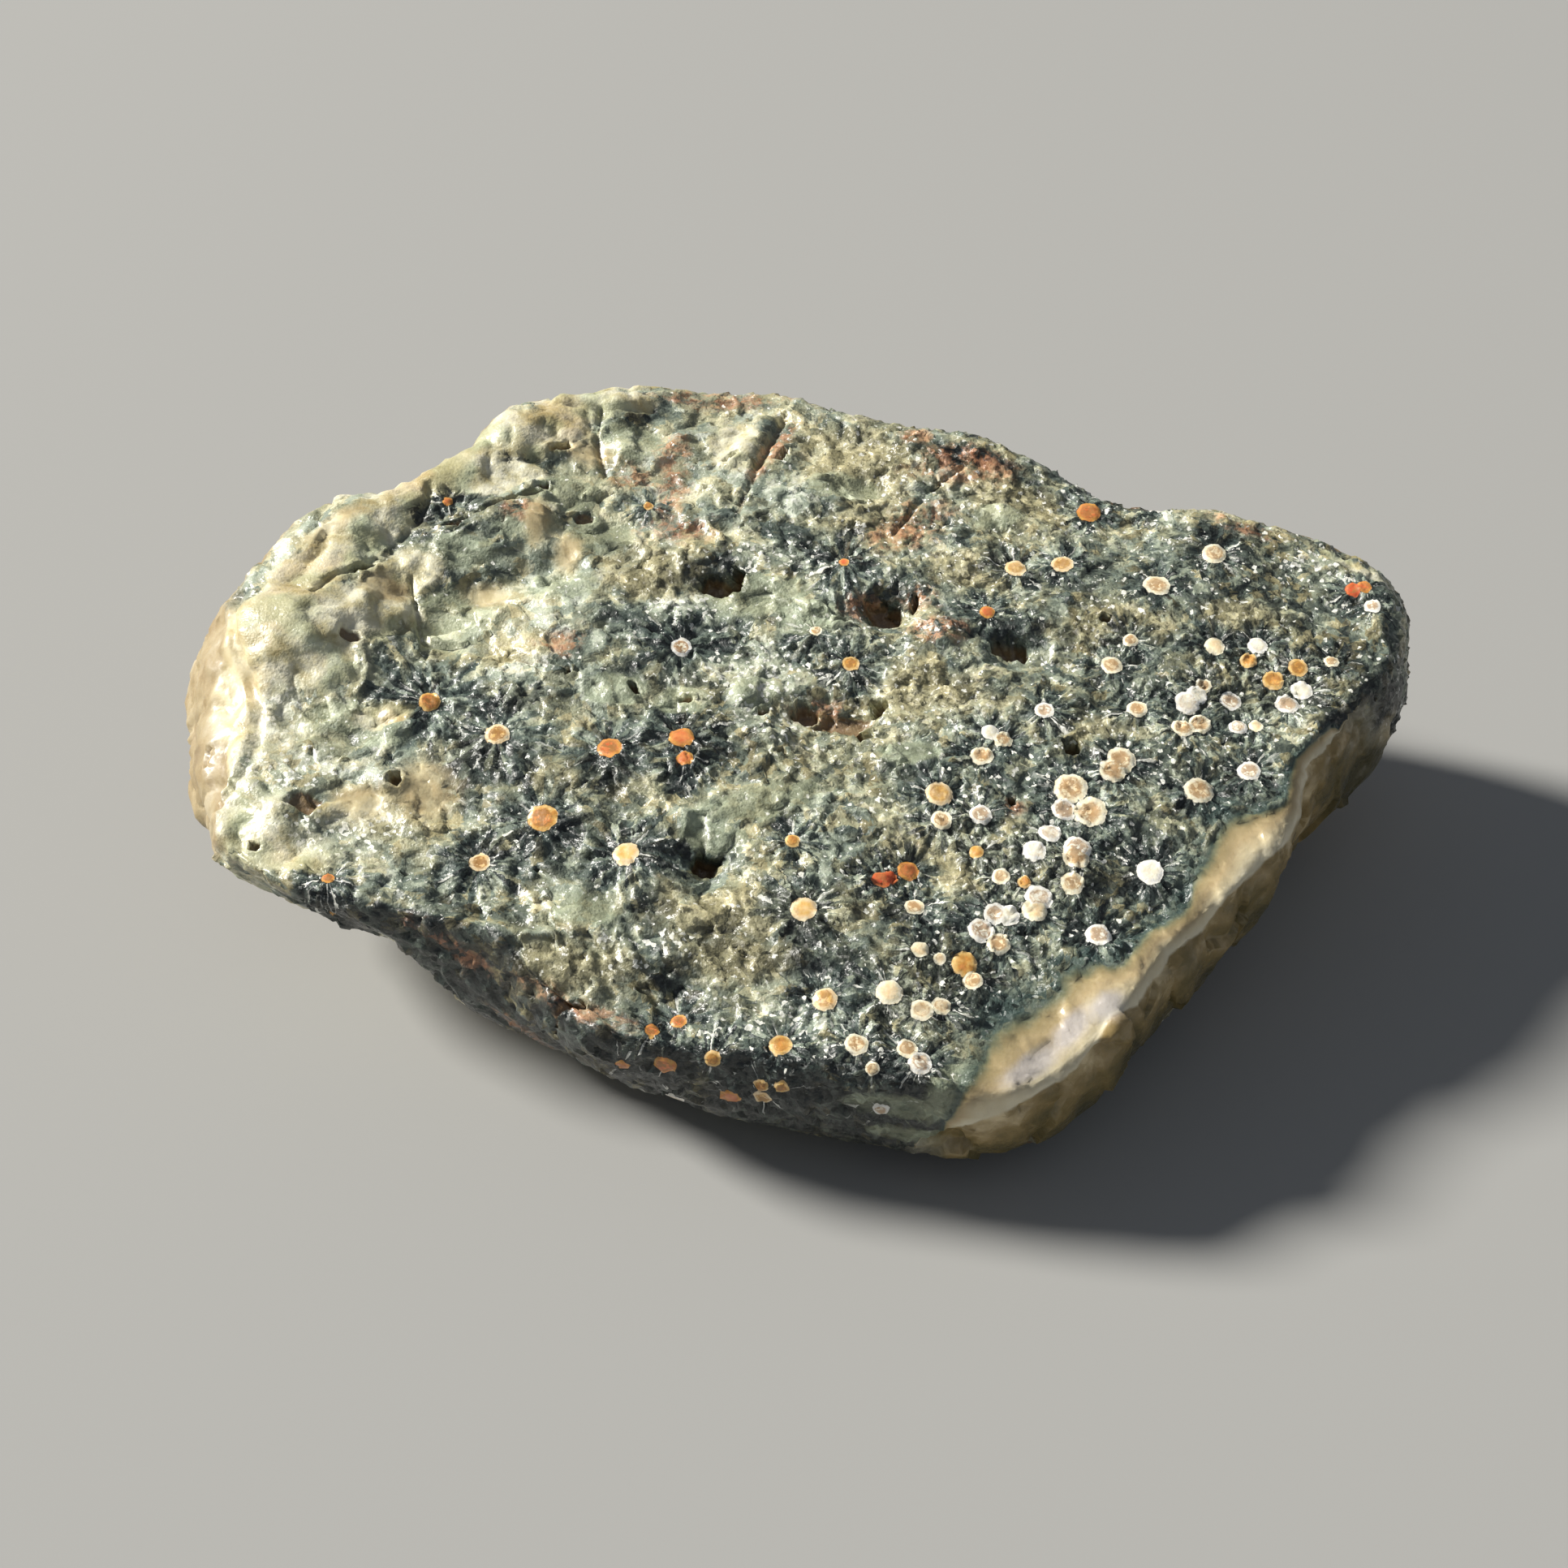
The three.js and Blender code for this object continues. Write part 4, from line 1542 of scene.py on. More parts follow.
    def _finish(self, piece: bpy.types.Object) -> bpy.types.Object:
        """Brings the skin to metres, names it and ties it to the frame.

        Args:
            piece: The thinned skin, in millimetres.

        Returns:
            The same object.
        """
        mesh = piece.data
        points = self._rows(mesh.vertices, "co") * METRES_PER_MM
        points[:, 2] = np.maximum(points[:, 2], 0.0)
        mesh.vertices.foreach_set("co", points.ravel())
        mesh.polygons.foreach_set("use_smooth", [True] * len(mesh.polygons))
        mesh.set_sharp_from_angle(angle=math.radians(self.skin.sharp_deg))
        mesh.update()
        piece.name = PIECE_NAME
        mesh.name = PIECE_NAME
        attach(piece, "root")
        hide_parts(NODE_NAME)
        return piece


# ---- Node building ----


@dataclass(frozen=True)
class Tone:
    """A colour as a screen shows it, each part from 0 to 255."""

    red: int
    green: int
    blue: int

    @property
    def linear(self) -> tuple[float, float, float, float]:
        """The colour as light, with full cover."""
        return (*(self._light(part) for part in (self.red, self.green, self.blue)), 1.0)

    @staticmethod
    def _light(part: int) -> float:
        """One part of the colour as light."""
        value = part / 255
        return value / 12.92 if value <= 0.04045 else ((value + 0.055) / 1.055) ** 2.4


Ramp = tuple[tuple[float, Tone], ...]


def ramp(*stops: tuple[float, int, int, int]) -> Ramp:
    """The places of a colour ramp, from 0 to 1, with the tone at each.

    Args:
        stops: Rows of a place and the red, green and blue there.

    Returns:
        The places and tones.
    """
    return tuple((place, Tone(*parts)) for place, *parts in stops)


class Wire:
    """A single value on its way between nodes; arithmetic on it adds Math nodes."""

    def __init__(self, bench: "Bench", socket: bpy.types.NodeSocket) -> None:
        """Holds the socket the value leaves by.

        Args:
            bench: The node tree it belongs to.
            socket: An output socket.
        """
        self.bench = bench
        self.socket = socket

    def __add__(self, other: Number) -> "Wire":
        """The sum."""
        return self.bench.combine("ADD", self, other)

    def __radd__(self, other: Number) -> "Wire":
        """The sum."""
        return self.bench.combine("ADD", other, self)

    def __sub__(self, other: Number) -> "Wire":
        """The difference."""
        return self.bench.combine("SUBTRACT", self, other)

    def __rsub__(self, other: Number) -> "Wire":
        """The difference."""
        return self.bench.combine("SUBTRACT", other, self)

    def __mul__(self, other: Number) -> "Wire":
        """The product."""
        return self.bench.combine("MULTIPLY", self, other)

    def __rmul__(self, other: Number) -> "Wire":
        """The product."""
        return self.bench.combine("MULTIPLY", other, self)

    def __truediv__(self, other: Number) -> "Wire":
        """The quotient."""
        return self.bench.combine("DIVIDE", self, other)

    def __rtruediv__(self, other: Number) -> "Wire":
        """The quotient."""
        return self.bench.combine("DIVIDE", other, self)

    def step(self, low: Number, high: Number) -> "Wire":
        """An even S-shaped step from 0 at low to 1 at high."""
        settings = {"interpolation_type": "SMOOTHSTEP"}
        values = {"Value": self, "From Min": low, "From Max": high}
        return self.bench.wire(self.bench.node("ShaderNodeMapRange", settings, values))

    def fall(self, low: Number, high: Number) -> "Wire":
        """The same step turned over: 1 at low and 0 at high."""
        return 1 - self.step(low, high)

    def swing(self, amount: Number) -> "Wire":
        """From half the amount below 0 to half above it, as the value goes from 0 to 1."""
        return (self - 0.5) * amount

    def clamped(self) -> "Wire":
        """The value kept between 0 and 1."""
        return self.bench.wire(self.bench.node("ShaderNodeClamp", {}, {"Value": self}))


class Bench:
    """Makes nodes in one material's tree."""

    def __init__(self, material: bpy.types.Material) -> None:
        """Clears the material's tree.

        Args:
            material: The material to build in.
        """
        material.use_nodes = True
        self.tree = material.node_tree
        self.tree.nodes.clear()

    def _plug(self, target: bpy.types.NodeSocket, value: object) -> None:
        """Links a wire to an input, or sets the input's value.

        Args:
            target: The input.
            value: A wire, a tone or a plain value.
        """
        if isinstance(value, Wire):
            self.tree.links.new(value.socket, target)
        elif isinstance(value, Tone):
            target.default_value = value.linear
        else:
            target.default_value = value

    def node(self, kind: str, settings: dict[str, object],
             values: dict[Union[str, int], object]) -> bpy.types.Node:
        """Makes one node.

        Args:
            kind: The node's type.
            settings: Its settings, which are set first.
            values: What goes into its sockets, by name or number.

        Returns:
            The node.
        """
        made = self.tree.nodes.new(kind)
        for name, setting in settings.items():
            setattr(made, name, setting)
        for name, value in values.items():
            self._plug(made.inputs[name], value)
        return made

    def wire(self, node: bpy.types.Node, output: Union[str, int] = 0) -> Wire:
        """One output of a node as a wire."""
        return Wire(self, node.outputs[output])

    def combine(self, operation: str, first: Number, second: Number) -> Wire:
        """A Math node on two values."""
        return self.wire(self.node("ShaderNodeMath", {"operation": operation}, {0: first, 1: second}))

    def higher(self, *values: Number) -> Wire:
        """The largest of some values."""
        largest = values[0]
        for value in values[1:]:
            largest = self.combine("MAXIMUM", largest, value)
        return largest

    def vector(self, operation: str, *parts: object, output: str = "Vector") -> Wire:
        """A Vector Math node on one or two vectors."""
        made = self.node("ShaderNodeVectorMath", {"operation": operation}, dict(enumerate(parts)))
        return self.wire(made, output)

    def stretch(self, vector: Wire, amount: Number) -> Wire:
        """A vector made longer."""
        settings, values = {"operation": "SCALE"}, {0: vector, "Scale": amount}
        return self.wire(self.node("ShaderNodeVectorMath", settings, values))

    def parts(self, vector: Wire) -> tuple[Wire, Wire, Wire]:
        """The three parts of a vector."""
        made = self.node("ShaderNodeSeparateXYZ", {}, {0: vector})
        return self.wire(made, 0), self.wire(made, 1), self.wire(made, 2)

    def field(self, name: str) -> Wire:
        """A field stored on the mesh."""
        return self.wire(self.node("ShaderNodeAttribute", {"attribute_name": name}, {}), "Vector")

    def noise(self, vector: Wire, scale: float, detail: float = 2.0, colour: bool = False) -> Wire:
        """A noise texture: its value, or three values at once."""
        values = {"Vector": vector, "Scale": scale, "Detail": detail}
        made = self.node("ShaderNodeTexNoise", {}, values)
        return self.wire(made, "Color" if colour else "Fac")

    def cells(self, vector: Wire, scale: float) -> tuple[Wire, Wire]:
        """A cell texture: distance to the nearest seed, and the cell's random colour."""
        made = self.node("ShaderNodeTexVoronoi", {}, {"Vector": vector, "Scale": scale})
        return self.wire(made, "Distance"), self.wire(made, "Color")

    def edges(self, vector: Wire, scale: float) -> Wire:
        """Distance to the nearest edge between cells."""
        settings = {"feature": "DISTANCE_TO_EDGE"}
        made = self.node("ShaderNodeTexVoronoi", settings, {"Vector": vector, "Scale": scale})
        return self.wire(made, "Distance")

    def blend(self, amount: Number, first: object, second: object, mode: str = "MIX") -> Wire:
        """Mixes two colours."""
        settings = {"data_type": "RGBA", "blend_type": mode}
        made = self.node("ShaderNodeMix", settings, {0: amount, 6: first, 7: second})
        return self.wire(made, 2)

    def tinted(self, colour: Wire, tint: object) -> Wire:
        """A colour seen through a tint."""
        return self.blend(1.0, colour, tint, "MULTIPLY")

    def lean(self, colour: Wire, amount: Number) -> Wire:
        """A random colour as a vector that leans every way alike."""
        return self.stretch(self.vector("SUBTRACT", colour, (0.5, 0.5, 0.5)), amount)

    def ramp(self, value: Wire, stops: Ramp) -> Wire:
        """Turns a value into a colour.

        Args:
            value: From 0 to 1.
            stops: Places and colours along the ramp.

        Returns:
            The colour.
        """
        made = self.node("ShaderNodeValToRGB", {}, {0: value})
        elements = made.color_ramp.elements
        while len(elements) < len(stops):
            elements.new(1.0)
        for element, (place, tone) in zip(elements, stops):
            element.position = place
            element.color = tone.linear
        return self.wire(made, "Color")


# ---- The finish ----


@dataclass(frozen=True)
class JasperFinish:
    """The looks of the stone.

    Attributes:
        ground: From near black to frosty crystal, through olive.
        teal: The same in the cooler chalcedony.
        rind: Chalky weathered crust.
        mossy: Green tint of some of the crust.
        peach: Warm tint of some of the crust.
        glass: Smooth translucent chips.
        band: The pale band, from its crest to its inner edge.
        wall: The wall under the band, from its foot to the crest; dimmed, and darker toward its foot,
            as painted shade.
        honey: Tan chalcedony.
        orb: Orb colours, from white to rust red.
        rust: Iron stain, dark to light.
        speckle: Fine speckle that the orbs are seen through.
        slate: Dark rim round an orb.
        khaki: The ground where it is mottled with khaki, dark to light.
        lavender: The greyish violet part of the band.
        stain_and_shade: Painted shade that the crust of the outer walls is seen through, darkening it
            where the main lamp strikes it square on.
        fringe: Dark line along the band's inner edge.
        lining: The walls of the pits.
        core: Brown rings, pits and cracks of the orbs.
        fleck_and_glint: Small frosty flecks, partly white crystal grains and partly painted glints.
        ior: Index of refraction.
        subsurface: How much light goes into the stone.
        subsurface_radius: How far its red, green and blue parts go.
        subsurface_mm: The length that those are parts of.
        coat: How strong the thin gloss coat is.
        coat_rough: How rough the coat is.
        shiny: Roughness of the shiniest crystals, and how much the roughest have more.
        dull: The same on the dull parts.
        bump: Strength of the finest relief.
        bump_mm: Its height.
    """

    ground: Ramp = ramp(
        (0.00, 28, 30, 23), (0.18, 66, 69, 56), (0.36, 110, 113, 93), (0.54, 154, 155, 126),
        (0.70, 196, 192, 158), (0.85, 226, 222, 194), (1.00, 248, 245, 230),
    )
    teal: Ramp = ramp(
        (0.00, 34, 43, 42), (0.35, 79, 94, 90), (0.65, 146, 160, 146), (1.00, 232, 238, 228),
    )
    rind: Ramp = ramp(
        (0.00, 134, 118, 78), (0.30, 174, 162, 118), (0.60, 202, 195, 158), (1.00, 228, 225, 202),
    )
    mossy: Tone = Tone(178, 192, 162)
    peach: Tone = Tone(236, 206, 160)
    glass: Ramp = ramp(
        (0.00, 98, 106, 84), (0.40, 146, 152, 124), (0.70, 176, 186, 158), (1.00, 216, 220, 194),
    )
    band: Ramp = ramp(
        (0.00, 228, 219, 190), (0.25, 210, 196, 160), (0.50, 190, 170, 130), (0.72, 164, 148, 108),
        (0.88, 120, 122, 94), (1.00, 62, 80, 73),
    )
    wall: Ramp = ramp(
        (0.00, 78, 72, 38), (0.35, 114, 100, 56), (0.70, 154, 132, 84), (1.00, 214, 195, 152),
    )
    honey: Ramp = ramp(
        (0.00, 156, 132, 92), (0.40, 202, 180, 134), (0.70, 218, 202, 158), (1.00, 236, 226, 192),
    )
    orb: Ramp = ramp(
        (0.00, 250, 248, 240), (0.28, 250, 240, 208), (0.46, 240, 210, 162), (0.60, 228, 188, 114),
        (0.70, 214, 156, 76), (0.82, 222, 142, 82), (1.00, 206, 88, 50),
    )
    rust: Ramp = ramp(
        (0.00, 110, 72, 48), (0.50, 176, 120, 84), (1.00, 214, 176, 136),
    )
    speckle: Ramp = ramp((0.0, 214, 208, 196), (0.6, 255, 255, 255))
    slate: Tone = Tone(44, 48, 42)
    khaki: Ramp = ramp(
        (0.00, 72, 68, 46), (0.40, 156, 146, 106), (0.70, 204, 192, 148), (1.00, 244, 236, 204),
    )
    lavender: Tone = Tone(186, 181, 180)
    stain_and_shade: Tone = Tone(194, 188, 182)
    fringe: Tone = Tone(58, 80, 76)
    lining: Tone = Tone(120, 96, 68)
    core: Tone = Tone(166, 120, 66)
    fleck_and_glint: Tone = Tone(244, 244, 234)
    ior: float = 1.54
    subsurface: float = 0.35
    subsurface_radius: Triple = (1.0, 0.95, 0.8)
    subsurface_mm: float = 0.35
    coat: float = 0.25
    coat_rough: float = 0.22
    shiny: tuple[float, float] = (0.27, 0.36)
    dull: tuple[float, float] = (0.30, 0.24)
    bump: float = 0.6
    bump_mm: float = 0.09

    def build(self) -> bpy.types.Material:
        """Makes the material.

        Returns:
            The material.
        """
        material = bpy.data.materials.new("ocean_jasper")
        JasperNodes(Bench(material), self).build()
        return material


class JasperNodes:
    """Wires the jasper material. Lengths in it are millimetres, and a scale is per millimetre."""

    STIR_MM = 0.4
    GRIT_SCALE = 2.5
    FINE_SCALE = 3.8
    CHALK_SCALE = 0.6
    CRACKLE_SCALE = 1.9
    BUMP_SCALE = 5.5
    BLADE_JITTER = 0.7

    def __init__(self, bench: Bench, finish: JasperFinish) -> None:
        """Sets out the coordinates and fields that the rest reads.

        Args:
            bench: The tree to build in.
            finish: Its colours and its constant values.
        """
        self.bench = bench
        self.finish = finish
        place = bench.node("ShaderNodeTexCoord", {}, {})
        self.point = bench.stretch(bench.wire(place, "Object"), 1 / METRES_PER_MM)
        self.bent = bench.vector("ADD", self.point, bench.stretch(bench.field("stir"), self.STIR_MM))
        self.broad, self.patchy, self.tone = bench.parts(bench.field("swirl"))
        self.chip = bench.parts(bench.field("chip"))
        self.shard = bench.parts(bench.field("shard"))
        self.grit_colour = bench.noise(self.point, self.GRIT_SCALE, detail=1.5, colour=True)
        self.grit = bench.parts(self.grit_colour)
        self.fine_distance, self.fine_colour = bench.cells(self.point, self.FINE_SCALE)
        self.fine = bench.parts(self.fine_colour)
        self.rind, self.glass, self.rust = bench.parts(bench.field("zone_a"))
        self.honey, self.mottle, self.frost = bench.parts(bench.field("zone_b"))
        self.lavender, self.dark, self.hollow = bench.parts(bench.field("zone_c"))
        self.across, self.banded, self.wax = bench.parts(bench.field("band"))
        # The painted shade of the outer walls, and how near the left end each place lies.
        self.stain_and_shade, self.left, _ = bench.parts(bench.field("wall_shade_and_left"))
        self._set_out_spray()
        self._set_out_masks()

    def _set_out_spray(self) -> None:
        """Reads the spray each face belongs to, and draws its blades."""
        bench = self.bench
        ray = bench.field("spray")
        self.tint, self.chance, self.present = bench.parts(bench.field("spray_kind"))
        self.radius, self.halo, _ = bench.parts(bench.field("spray_size"))
        self.span = bench.vector("LENGTH", ray, output="Value")
        heading = bench.vector("NORMALIZE", ray)
        up = bench.field("spray_up")
        jitter = bench.lean(self.grit_colour, self.BLADE_JITTER)
        broad_colour = self._blades(heading, up, jitter, around=5.0, drift=0.28, turn=37)
        self.thin_colour = self._blades(heading, up, jitter, around=10.0, drift=0.9, turn=53)
        self.blade = bench.parts(broad_colour)
        self.thin = bench.parts(self.thin_colour)
        edge = (self.span - self.radius) / self.halo
        wander = self.patchy * 0.22 + self.blade[1].swing(0.7)
        self.in_halo = (edge + wander).fall(0.3, 1.0) * self.present

    def _blades(self, heading: Wire, up: Wire, jitter: Wire, around: float, drift: float,
                turn: int) -> Wire:
        """The random colour of the blade that each place lies on.

        Args:
            heading: Direction away from the orb.
            up: Direction out of the stone at the orb.
            jitter: Makes the sides of the blades uneven.
            around: How finely the blades divide the way round.
            drift: How soon one ends and the next begins, going outward.
            turn: Makes the blades of two sprays differ.

        Returns:
            The colour.
        """
        bench = self.bench
        course = bench.vector("ADD", bench.stretch(heading, around), jitter)
        climb = bench.stretch(up, self.span * drift + self.chance * turn)
        return bench.cells(bench.vector("ADD", course, climb), 1.0)[1]

    def _mask(self, value: Wire, soft: float, ragged: float) -> Wire:
        """A zone field as a mask with an edge that follows the grain.

        Args:
            value: The zone field.
            soft: How wide the edge is.
            ragged: How far it wanders.

        Returns:
            The mask, from 0 to 1.
        """
        wander = self.patchy * (ragged * 0.45) + self.shard[1].swing(ragged * 0.5)
        return (value + wander + self.grit[1].swing(ragged * 0.6)).step(-soft, soft)

    def _set_out_masks(self) -> None:
        """Turns the zone fields into masks."""
        self.in_dark = self._mask(self.dark, soft=0.4, ragged=0.9)
        self.in_frost = self._mask(self.frost, soft=0.3, ragged=0.7)
        self.in_mottle = self._mask(self.mottle, soft=0.45, ragged=0.9)
        self.in_glass = self._mask(self.glass, soft=0.2, ragged=0.4)
        self.in_rust = self._mask(self.rust, soft=0.55, ragged=1.0)
        self.in_honey = self._mask(self.honey, soft=0.55, ragged=0.35)
        self.in_lavender = self._mask(self.lavender, soft=0.5, ragged=0.15)
        self.in_rind = self._mask(self.rind, soft=0.22, ragged=0.5) * (1 - self.in_frost * 0.55)
        inner = (self.across + self.tone * 0.12 + self.shard[1].swing(0.1)).fall(0.85, 1.15)
        self.in_band = inner * (self.banded + self.patchy * 0.15).step(0.2, 0.9)
        self.fringe = self.across.step(0.75, 1.05) * self.across.fall(1.15, 1.7) * self.banded
        self.on_wall = self.across.fall(-0.04, 0.02) * self.in_band

    def _lightness(self) -> Wire:
        """How light each crystal of the ground is."""
        crisp = 1 - self.bench.higher(self.wax * 0.55, self.left * 0.4)
        light = 0.53 + self.broad * 0.07 + self.patchy * 0.12 + self.wax * 0.1
        light = light + self.chip[0].swing(0.22 + self.left * 0.06)
        light = light + self.shard[0].swing(crisp * 0.34)
        fine = self.fine[0].swing(0.22) + self.grit[0].swing(0.6)
        light = light + fine * crisp * (1 - self.in_halo * 0.45) * (1 - self.in_dark * 0.25)
        # Where the dark field passes 0.5 it is mostly the painted shade of the near wall, and also the
        # middles of the dark patches; both are darkened further.
        light = light - self.in_dark * 0.17 - self.dark.step(0.5, 1.1) * 0.32 + self.in_frost * 0.14
        spray = self.blade[0].swing(0.58) + self.thin[0].swing(0.26) - 0.17
        return (light + self.in_halo * spray).clamped()

    def _ground(self) -> Wire:
        """The crystalline ground: slate, olive and frosty grains."""
        bench, finish = self.bench, self.finish
        light = self._lightness()
        warm = bench.ramp(light, finish.ground)
        cool = bench.ramp(light, finish.teal)
        coolness = (self.chip[1] + self.tone * 0.5 - 0.2).step(0.2, 0.7) * 0.75
        coolness = bench.higher(coolness, self.in_dark * 0.6, self.in_halo * 0.85, self.in_frost * 0.6)
        colour = bench.blend(coolness, warm, cool)
        khaki = bench.ramp(light, finish.khaki)
        grains = (self.shard[2] - self.tone * 0.3).step(0.75, 1.0) * 0.7
        warmth = bench.higher(self.in_mottle * 0.6, grains)
        return bench.blend(warmth * (1 - self.in_halo * 0.7), colour, khaki)

    def _flecks_and_glints(self) -> Wire:
        """Where small frosty flecks lie: partly white crystal grains and partly painted glints, fewer
        where the dark field is deepest, as on the painted shade of the near wall.
        """
        share = 0.955 - self.in_frost * 0.14 + self.left * 0.04 - self.grit[2].swing(0.3)
        share = share + self.dark.step(0.6, 1.1) * 0.06
        loose = (self.fine[2] - share).step(0.0, 0.03)
        blade = (self.thin[2] - 0.95).step(0.0, 0.05) * self.in_halo
        return self.bench.higher(loose, blade) * 0.85

    def _orb_colour(self) -> tuple[Wire, Wire]:
        """The colour of an orb's disc, and the mask of the disc."""
        bench, finish = self.bench, self.finish
        reach = self.span / self.radius + self.grit[0].swing(0.34) + self.patchy * 0.08
        disc = reach.fall(0.97, 1.04) * self.present
        tint = self.tint + self.grit[1].swing(0.35) + reach.fall(0.45, 0.95) * 0.16 - 0.06
        colour = bench.ramp(tint.clamped(), finish.orb)
        ring = reach.step(0.52, 0.60) * reach.fall(0.64, 0.76) * self.chance.step(0.1, 0.4)
        crack = bench.edges(self.point, self.CRACKLE_SCALE).fall(0.02, 0.08)
        pitted = self.chance.step(0.2, 0.6)
        pits = (0.74 - self.fine_distance * 0.3 - self.grit[2]).step(0.0, 0.08) * pitted
        core = pits * reach.fall(0.4, 0.8) + ring * 0.6 * self.grit[2].step(0.3, 0.6)
        core = core + crack * reach.fall(0.5, 0.85) * pitted * 0.7
        colour = bench.blend(core.clamped() * (0.68 + self.left * 0.2), colour, finish.core)
        speck = bench.ramp(self.fine[0], finish.speckle)
        return bench.blend(0.4, colour, bench.tinted(colour, speck)), disc

    def _crust(self, chalk: Wire) -> Wire:
        """The colour of the weathered crust.

        Args:
            chalk: Broad cloudy noise.

        Returns:
            The colour.
        """
        bench, finish = self.bench, self.finish
        light = chalk.step(0.28, 0.62) * 0.55 + self.grit[0] * 0.45 + self.chip[0].swing(0.15)
        light = light + self.patchy * 0.12 + self.fine[0].swing(0.16) - 0.1
        colour = bench.ramp((light + 0.22).clamped(), finish.rind)
        mossy = (self.broad * 0.6 - self.tone * 0.6 - self.patchy * 0.3).step(-0.1, 0.5) * 0.6
        colour = bench.blend(mossy, colour, finish.mossy)
        warm = (self.broad + self.patchy * 0.2).step(-0.1, 0.7) * 0.5
        return bench.blend(warm, colour, bench.tinted(colour, finish.peach))

    def _band(self, chalk: Wire) -> Wire:
        """The colour of the pale band and of the wall under it.

        Args:
            chalk: Broad cloudy noise.

        Returns:
            The colour.
        """
        bench, finish = self.bench, self.finish
        place = self.across + chalk.swing(0.35) + self.tone * 0.08
        # Painted shade: the wall under the band is kept dark and grows darker toward its foot.
        light = 0.78 + self.across * 0.85 + chalk.swing(1.2) + self.tone * 0.2
        light = light + self.chip[0].swing(0.2)
        wall = bench.ramp(light.clamped(), finish.wall)
        return bench.blend(self.on_wall, bench.ramp(place.clamped(), finish.band), wall)

    def _colour(self) -> tuple[Wire, Wire]:
        """The colour over the whole stone, and the mask of the orbs."""
        bench, finish = self.bench, self.finish
        colour = self._ground()
        clear = 0.52 + self.patchy * 0.18 + self.chip[0].swing(0.3) + self.broad * 0.12
        clear = clear + self.grit[0].swing(0.4) + self.shard[0].swing(0.2)
        clear = clear + self.fine[0].swing(0.15)
        colour = bench.blend(self.in_glass * 0.65, colour, bench.ramp(clear.clamped(), finish.glass))
        # Iron stain of the rust zone, the stone's own colour.
        stain_and_shade = bench.ramp((self.grit[1] + self.patchy * 0.3).clamped(), finish.rust)
        strength = self.in_rust * (self.grit[2] + self.shard[0] * 0.6 - 0.45).step(0.0, 0.6)
        colour = bench.blend(strength * 0.76, colour, stain_and_shade)
        # White flecks: partly white crystal grains, partly painted glints.
        colour = bench.blend(self._flecks_and_glints(), colour, finish.fleck_and_glint)
        chalk = bench.noise(self.bent, self.CHALK_SCALE, detail=4)
        colour = bench.blend(self.in_rind, colour, self._crust(chalk))
        amber = bench.ramp((0.5 + self.tone * 0.35 + (chalk - 0.5)).clamped(), finish.honey)
        colour = bench.blend(self.in_honey * 0.8, colour, amber)
        # Painted shade: the crust of the outer walls is darkened where the main lamp strikes it square
        # on.
        colour = bench.blend(self.stain_and_shade, colour, bench.tinted(colour, finish.stain_and_shade))
        colour = bench.blend(self.fringe * 0.6, colour, finish.fringe)
        colour = bench.blend(self.in_band, colour, self._band(chalk))
        colour = bench.blend(self.in_lavender * 0.8, colour, finish.lavender)
        orb, disc = self._orb_colour()
        edge = (self.span - self.radius).fall(0.02, 0.22) * self.present * 0.5
        colour = bench.blend(edge, colour, finish.slate)
        colour = bench.blend(disc, colour, orb)
        inside = self.hollow.step(0.25, 0.8) * 0.85
        return bench.blend(inside, colour, finish.lining), disc

    def build(self) -> None:
        """Wires the whole material."""
        bench, finish = self.bench, self.finish
        colour, disc = self._colour()
        smooth_parts = bench.higher(self.in_glass, self.in_honey, self.in_band, self.wax * 0.6)
        dull = bench.higher(self.in_rind * 0.7, disc, self.hollow.step(0.1, 0.6))
        even = bench.higher(self.in_band * 0.9, disc * 0.75, self.in_rind * 0.25, self.in_honey * 0.85)
        skin = bench.node("ShaderNodeBsdfPrincipled", {}, {
            "Base Color": colour, "Roughness": self._rough(smooth_parts, dull),
            "Normal": self._normal(smooth_parts, dull, even), "IOR": finish.ior,
            "Subsurface Weight": finish.subsurface, "Subsurface Radius": finish.subsurface_radius,
            "Subsurface Scale": finish.subsurface_mm * METRES_PER_MM,
            "Coat Weight": finish.coat, "Coat Roughness": finish.coat_rough,
        })
        bench.node("ShaderNodeOutputMaterial", {}, {"Surface": bench.wire(skin)})

    def _rough(self, smooth_parts: Wire, dull: Wire) -> Wire:
        """How rough the surface is.

        Args:
            smooth_parts: Where glass, honey, band or wax smooths it.
            dull: Where rind, orbs and pits dull it.

        Returns:
            The roughness.
        """
        (shiny, shiny_more), (least, more) = self.finish.shiny, self.finish.dull
        shine = shiny + self.fine[1] * shiny_more
        rough = shine + (least + self.fine[1] * more - shine) * dull + smooth_parts * 0.02
        return (rough + self.stain_and_shade * 0.14).clamped()

